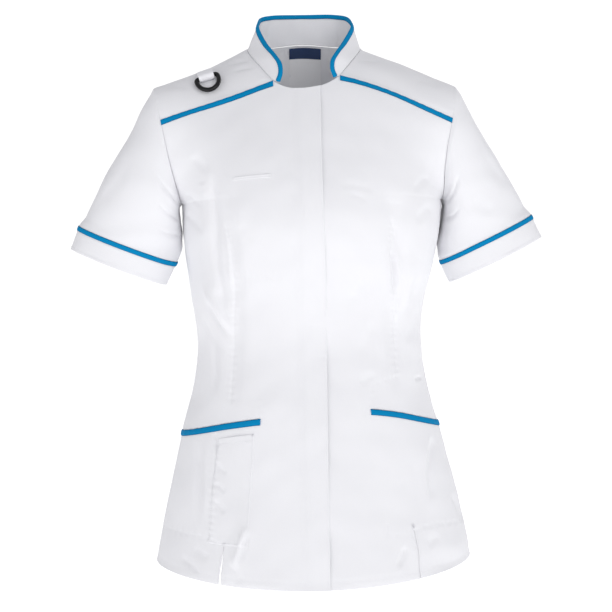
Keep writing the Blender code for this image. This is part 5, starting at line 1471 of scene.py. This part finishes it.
def stitches(name, runs, slot="cloth", pitch=None, length=STITCH_LENGTH, radius=STITCH_RADIUS):
    """Rows of stitches along lines of points with normals, as one mesh of small spindles."""
    pitch = pitch or bpy.context.scene.tunic_looks.stitch_pitch
    turn = np.arange(STITCH_SIDES) * 2 * np.pi / STITCH_SIDES
    starts, ends, ups = [], [], []
    for points, normals in runs:
        step = np.linalg.norm(np.diff(points, axis=0), axis=-1)
        far = np.concatenate([[0.0], np.cumsum(step)])
        count = max(1, int(far[-1] / pitch))
        at = (np.arange(count) + 0.5 - length / 2) * pitch
        pick = lambda d, rows: np.stack([np.interp(d, far, rows[:, i]) for i in range(3)], axis=-1)
        starts.append(pick(at, points))
        ends.append(pick(at + length * pitch, points))
        ups.append(unit(pick(at, normals)))
    start, end, up = (np.concatenate(x) for x in (starts, ends, ups))
    way = unit(end - start)
    side = unit(np.cross(up, way))
    up = np.cross(way, side)
    line = start[:, None] + (end - start)[:, None] * STITCH_AT[None, :, None]
    line = line + up[:, None] * (STITCH_RISE * radius)[None, :, None]
    ring = (side[:, None, None] * np.cos(turn)[None, None, :, None]
            + up[:, None, None] * np.sin(turn)[None, None, :, None])
    points = line[:, :, None] + ring * (STITCH_SIZE * radius)[None, :, None, None]
    index = np.arange(points[..., 0].size).reshape(points.shape[:3])
    ahead = np.roll(index, -1, axis=2)
    quads = np.stack([index[:, :-1], ahead[:, :-1], ahead[:, 1:], index[:, 1:]], axis=-1).reshape(-1, 4)
    quads = np.concatenate([quads, index[:, 0, [0, 3, 2, 1]], index[:, -1, :4]])
    u = np.broadcast_to(STITCH_AT[None, :, None] * pitch, points.shape[:3])
    v = np.broadcast_to(turn[None, None, :] * radius, points.shape[:3])
    places = np.stack([u, v], axis=-1).reshape(-1, 2)
    ride(make_mesh(name, points.reshape(-1, 3), quads, places, "white_thread"), slot)


def run_on(surface, u, v, sign, lift=0.0):
    """A line of points on a surface with its normals, lifted off it."""
    u, v = np.broadcast_arrays(np.asarray(u, float), np.asarray(v, float))
    points = surface(u, v)
    normals = normals_of(surface, u, v, sign)
    return points + normals * lift, normals


def run_across(side, line):
    """A line on a front through points given as x and z, found by columns and rows."""
    line = np.array(line)
    far = np.concatenate([[0.0], np.cumsum(np.hypot(*np.diff(line, axis=0).T))])
    at = np.linspace(0, far[-1], 80)
    x, z = np.interp(at, far, line[:, 0]), np.interp(at, far, line[:, 1])
    row, near = z.copy(), np.abs(x)
    column = column_at(near, row, False)
    for _ in range(12):
        point = front(side, column, row, relief=False)
        row = np.minimum(row + z - point[..., 2], YOKE_ROW)
        near = near + side * (x - point[..., 0])
        column = column_at(near, front_row(column, row, side), False)
    return run_on(lambda u, v: front(side, u, v), column, row, side)


def front_runs(side):
    """Every row of stitches on one front."""
    facts = FRONT_FACTS[side]
    vent = facts["vent"]
    surface = lambda u, v: front(side, u, v)
    first = float(column_at(-0.016 if side < 0 else 0.024, np.array(HEM), False))
    vent_rows = np.linspace(HEM + 0.002, facts["vent_top"] + 0.002, 30)
    lines = [
        (np.linspace(first, vent - 0.01, 160), HEM + HEM_TURN),
        (np.linspace(vent + 0.01, 0.992, 160), HEM + HEM_TURN),
        (vent - BESIDE_VENT, vent_rows), (vent + BESIDE_VENT, vent_rows),
        (1 - BESIDE_SEAM, np.linspace(UNDERARM + 0.006, PIPING_ROW - 0.002, 70)),
    ]
    if side < 0:
        rows = np.linspace(HEM + 0.004, -0.085, 260)
        edge = 0.0022 - through(LAP_LINE, "row", "x", rows)
        column = column_at(edge, neck_row(column_at(edge, rows, False), rows, False), False)
        lines.insert(0, (column, rows))
    runs = [run_on(surface, u, v, side) for u, v in lines]
    runs += [run_across(side, SEAMS[name][1]) for name in STITCHED[side]]
    runs.append(run_on(surface, np.linspace(facts["mouth"], 0.99, 80), facts["mouth_low"] - 0.0022, side))
    if side > 0:
        return runs
    near, far = PEN_NEAR + PEN_INSET, PEN_FAR - PEN_INSET
    rows = np.linspace(PEN_FOOT + 0.002, PEN_TOP - 0.003, 50)
    columns = np.linspace(near, far, 30)
    chest = np.linspace(CHEST_NEAR + 0.008, CHEST_FAR - 0.008, 24)
    lifted = (
        (near, rows, TRIM), (far, rows, TRIM), (columns, PEN_FOOT + 0.002, TRIM),
        (columns, PEN_TOP - 0.009, TRIM + 0.0006), (chest, CHEST_LOW + 0.0008, 0.0006),
    )
    return runs + [run_on(surface, u, v, side, lift) for u, v, lift in lifted]


def tack(surface, u, v, sign, wide, tall, lift=0.0008):
    """A bartack: close parallel stitches across a short block, as runs of one stitch each."""
    centre, normal = run_on(surface, np.array([u]), np.array([v]), sign, lift)
    ahead = surface(np.array([u + 1e-3]), np.array([v])) - surface(np.array([u]), np.array([v]))
    across = unit(ahead)[0]
    up = np.cross(normal[0], across)
    runs = []
    for s in np.linspace(-0.5, 0.5, max(4, int(tall / 0.0005))):
        middle = centre[0] + up * s * tall
        ends = np.stack([middle - across * wide / 2, middle + across * wide / 2])
        runs.append((ends, np.stack([normal[0], normal[0]])))
    return runs


def make_stitching():
    """All rows of stitches and bartacks."""
    blocks = []
    for side, word in WORDS.items():
        stitches(f"front_{word}_stitches", front_runs(side))
        surface = lambda u, v: back(side, u, v)
        rows = np.linspace(UNDERARM + 0.006, YOKE_ROW - 0.003, 70)
        runs = [run_on(surface, 1 - BESIDE_SEAM, rows, -side),
                run_on(surface, np.linspace(0.002, 0.992, 200), HEM + HEM_TURN, -side)]
        stitches(f"back_{word}_stitches", runs)
        surface = lambda u, v: shoulder(side, u, v)
        share, over = np.linspace(0.01, 0.985, 110), np.linspace(0.03, 0.97, 80)
        lines = ((share, 0.018), (share, 0.985), (0.986, over), (0.014, over))
        stitches(f"yoke_{word}_stitches", [run_on(surface, u, v, side) for u, v in lines])
        turn = np.linspace(0, 1, 260)
        ring, inner, second = (
            cuff(side, turn, np.full(turn.shape, off), np.full(turn.shape, lift))
            for off, lift in ((0.0035, 0.0001), (0.0035, -0.001), (CUFF_BAND - PIPING - 0.0015, 0.0001)))
        out = unit(ring - inner)
        stitches(f"cuff_{word}_stitches", [(ring, out), (second, out)])
        surface = lambda u, v: front(side, u, v)
        facts = FRONT_FACTS[side]
        blocks += tack(surface, facts["vent"], facts["vent_top"] + 0.003, side, 0.0055, 0.005)
    surface = lambda u, v: front(-1, u, v)
    blocks += tack(surface, PEN_NEAR + 0.010, PEN_TOP - 0.003, -1, 0.004, 0.003, TRIM + 0.0004)
    stitches("bartacks", blocks, pitch=0.0016, length=0.98, radius=0.00022)

    surface = lambda u, v: shoulder(-1, u, v, False)
    half = 0.42 * TAPE_WIDTH / YOKE_WIDTH
    over = np.linspace(0.295, 0.392, 20)
    runs = [run_on(surface, RING_COLUMN + off, over, -1, 0.0034) for off in (-half, half)]
    share = np.linspace(-half, half, 12) + RING_COLUMN
    runs += [run_on(surface, share, over, -1, 0.0036) for over in (0.297, 0.390)]
    stitches("loop_tape_stitches", runs, slot="loop_tape", pitch=0.0024)


class TunicLooks(bpy.types.PropertyGroup):
    """Sizes and colours of the tunic's finish."""

    cloth_colour: bpy.props.FloatVectorProperty(
        name="Cloth", description="White of the twill", subtype="COLOR", size=3, default=(0.84, 0.84, 0.865))
    trim_colour: bpy.props.FloatVectorProperty(
        name="Trim", description="Blue of the piping", subtype="COLOR", size=3, default=(0.001, 0.235, 0.500))
    thread_colour: bpy.props.FloatVectorProperty(
        name="Thread", description="White of the thread", subtype="COLOR", size=3, default=(0.84, 0.84, 0.87))
    label_colour: bpy.props.FloatVectorProperty(
        name="Label", description="White of the label", subtype="COLOR", size=3, default=(0.90, 0.90, 0.91))
    label_band_colour: bpy.props.FloatVectorProperty(
        name="Label band", description="Navy of the label's band", subtype="COLOR", size=3,
        default=(0.022, 0.045, 0.120))
    ring_colour: bpy.props.FloatVectorProperty(
        name="Ring", description="Black of the ring", subtype="COLOR", size=3, default=(0.004, 0.004, 0.005))
    weave_pitch: bpy.props.FloatProperty(
        name="Weave", description="Distance between twill lines", unit="LENGTH", default=0.0007, min=0.0003)
    stitch_pitch: bpy.props.FloatProperty(
        name="Stitch", description="Distance from stitch to stitch", unit="LENGTH", default=0.0028, min=0.001)
    crease_strength: bpy.props.FloatProperty(
        name="Creases", description="Depth of the fine creases, as a share", default=1.0, min=0.0)
    seam_depth: bpy.props.FloatProperty(
        name="Seams", description="Depth of the sewn lines", unit="LENGTH", default=0.0008, min=0.0)


class TUNIC_OT_fronts(bpy.types.Operator):
    """Make both fronts."""

    bl_idname = "tunic.fronts"
    bl_label = "Fronts"

    def execute(self, context):
        """Make both fronts."""
        for side in WORDS:
            make_front(side)
        return {"FINISHED"}


class TUNIC_OT_back(bpy.types.Operator):
    """Make the back."""

    bl_idname = "tunic.back"
    bl_label = "Back"

    def execute(self, context):
        """Make the back."""
        make_back()
        return {"FINISHED"}


class TUNIC_OT_yokes(bpy.types.Operator):
    """Make both yokes."""

    bl_idname = "tunic.yokes"
    bl_label = "Yokes"

    def execute(self, context):
        """Make both yokes."""
        for side in WORDS:
            make_yoke(side)
        return {"FINISHED"}


class TUNIC_OT_sleeves(bpy.types.Operator):
    """Make both sleeves with their cuffs."""

    bl_idname = "tunic.sleeves"
    bl_label = "Sleeves"

    def execute(self, context):
        """Make both sleeves."""
        for side in WORDS:
            make_sleeve(side)
        return {"FINISHED"}


class TUNIC_OT_collar(bpy.types.Operator):
    """Make the collar and its binding."""

    bl_idname = "tunic.collar"
    bl_label = "Collar"

    def execute(self, context):
        """Make the collar."""
        make_collar()
        return {"FINISHED"}


class TUNIC_OT_piping(bpy.types.Operator):
    """Make the contrast strips at the yokes and hip pockets."""

    bl_idname = "tunic.piping"
    bl_label = "Piping"

    def execute(self, context):
        """Make the strips."""
        for side, facts in FRONT_FACTS.items():
            make_piping(side, "yoke", np.linspace(FRONT_NECK, 1.0, 120), PIPING_ROW, YOKE_ROW)
            make_piping(side, "hip", np.linspace(facts["mouth"], 0.999, 110), facts["mouth_low"],
                        facts["mouth_top"])
        return {"FINISHED"}


class TUNIC_OT_pockets(bpy.types.Operator):
    """Make the pockets."""

    bl_idname = "tunic.pockets"
    bl_label = "Pockets"

    def execute(self, context):
        """Make the bags, the chest welt and the pen pocket."""
        for side in WORDS:
            make_hip_pocket(side)
        make_chest_pocket()
        make_pen_pocket()
        return {"FINISHED"}


class TUNIC_OT_label(bpy.types.Operator):
    """Make the bare neck label."""

    bl_idname = "tunic.label"
    bl_label = "Neck label"

    def execute(self, context):
        """Make the label."""
        make_label()
        return {"FINISHED"}


class TUNIC_OT_ring(bpy.types.Operator):
    """Make the ring and its loop tape."""

    bl_idname = "tunic.ring"
    bl_label = "Ring and tape"

    def execute(self, context):
        """Make the ring and tape."""
        make_ring()
        make_tape()
        return {"FINISHED"}


class TUNIC_OT_stitching(bpy.types.Operator):
    """Sew the stitches and bartacks."""

    bl_idname = "tunic.stitching"
    bl_label = "Stitching"

    def execute(self, context):
        """Sew the stitches."""
        make_stitching()
        return {"FINISHED"}


def area_light(name, place, size, power):
    """A square soft light that looks at the garment's middle."""
    data = bpy.data.lights.new(name, "AREA")
    data.size = size
    data.energy = power
    item = bpy.data.objects.new(name, data)
    bpy.context.scene.collection.objects.link(item)
    item.location = place
    item.rotation_euler = (Vector(LIGHT_AIM) - Vector(place)).to_track_quat("-Z", "Y").to_euler()


class TUNIC_OT_stage(bpy.types.Operator):
    """Make the floor, the soft lights and the camera."""

    bl_idname = "tunic.stage"
    bl_label = "Stage"

    def execute(self, context):
        """Make the stage."""
        scene = context.scene
        floor = bpy.data.meshes.new("floor")
        corners = ((-1, -1), (1, -1), (1, 1), (-1, 1))
        floor.from_pydata([(x * FLOOR_HALF, y * FLOOR_HALF, FLOOR_Z) for x, y in corners], [],
                          [(0, 1, 2, 3)])
        paint = bpy.data.materials.new("pale_floor")
        paint.use_nodes = True
        shader = paint.node_tree.nodes["Principled BSDF"]
        shader.inputs["Base Color"].default_value = (0.86, 0.86, 0.86, 1.0)
        shader.inputs["Roughness"].default_value = 0.9
        shader.inputs["Emission Color"].default_value = (1.0, 1.0, 1.0, 1.0)
        shader.inputs["Emission Strength"].default_value = 0.8
        floor.materials.append(paint)
        item = bpy.data.objects.new("floor", floor)
        scene.collection.objects.link(item)

        world = bpy.data.worlds.new("pale_studio")
        scene.world = world
        world.use_nodes = True
        tree = world.node_tree
        seen = tree.nodes["Background"]
        seen.inputs["Color"].default_value = (1.0, 1.0, 1.0, 1.0)
        seen.inputs["Strength"].default_value = 1.1
        lighting = tree.nodes.new("ShaderNodeBackground")
        lighting.inputs["Color"].default_value = (0.97, 0.97, 1.0, 1.0)
        lighting.inputs["Strength"].default_value = 0.52
        path = tree.nodes.new("ShaderNodeLightPath")
        mix = tree.nodes.new("ShaderNodeMixShader")
        tree.links.new(path.outputs["Is Camera Ray"], mix.inputs["Fac"])
        tree.links.new(lighting.outputs[0], mix.inputs[1])
        tree.links.new(seen.outputs[0], mix.inputs[2])
        tree.links.new(mix.outputs[0], tree.nodes["World Output"].inputs["Surface"])

        for light in LIGHTS:
            area_light(*light)
        scene.view_settings.view_transform = "Standard"

        data = bpy.data.cameras.new("photo_camera")
        camera = bpy.data.objects.new("photo_camera", data)
        scene.collection.objects.link(camera)
        data.lens = CAMERA_LENS
        data.sensor_width = 36.0
        away = Vector((-CAMERA_AWAY * math.sin(CAMERA_YAW), -CAMERA_AWAY * math.cos(CAMERA_YAW), 0.0))
        eye = Vector(CAMERA_EYE) + away
        look = (Vector(CAMERA_AIM) - eye).to_track_quat("-Z", "Y").to_matrix().to_4x4()
        camera.matrix_world = Matrix.Translation(eye) @ look @ Matrix.Rotation(CAMERA_ROLL, 4, "Z")
        scene.camera = camera
        return {"FINISHED"}


STEPS = ("stage", "fronts", "back", "yokes", "sleeves", "collar", "piping", "pockets", "label", "ring",
         "stitching")


class TUNIC_PT_panel(bpy.types.Panel):
    """Lists the tunic's finish and its pieces."""

    bl_idname = "TUNIC_PT_panel"
    bl_label = "Medical tunic"
    bl_space_type = "VIEW_3D"
    bl_region_type = "UI"
    bl_category = "Tunic"

    def draw(self, context):
        """Draw the sizes, colours and buttons."""
        looks = context.scene.tunic_looks
        for name in TunicLooks.__annotations__:
            self.layout.prop(looks, name)
        for step in STEPS:
            self.layout.operator(f"tunic.{step}")


CLASSES = (
    TunicLooks, TUNIC_OT_stage, TUNIC_OT_fronts, TUNIC_OT_back, TUNIC_OT_yokes, TUNIC_OT_sleeves,
    TUNIC_OT_collar, TUNIC_OT_piping, TUNIC_OT_pockets, TUNIC_OT_label, TUNIC_OT_ring,
    TUNIC_OT_stitching, TUNIC_PT_panel,
)


def register():
    """Register the classes and the scene's settings."""
    for item in CLASSES:
        bpy.utils.register_class(item)
    bpy.types.Scene.tunic_looks = bpy.props.PointerProperty(type=TunicLooks)


def unregister():
    """Undo register."""
    del bpy.types.Scene.tunic_looks
    for item in reversed(CLASSES):
        bpy.utils.unregister_class(item)


def main():
    """Build the whole tunic."""
    register()
    for step in STEPS:
        getattr(bpy.ops.tunic, step)()


if __name__ == "__main__":
    main()
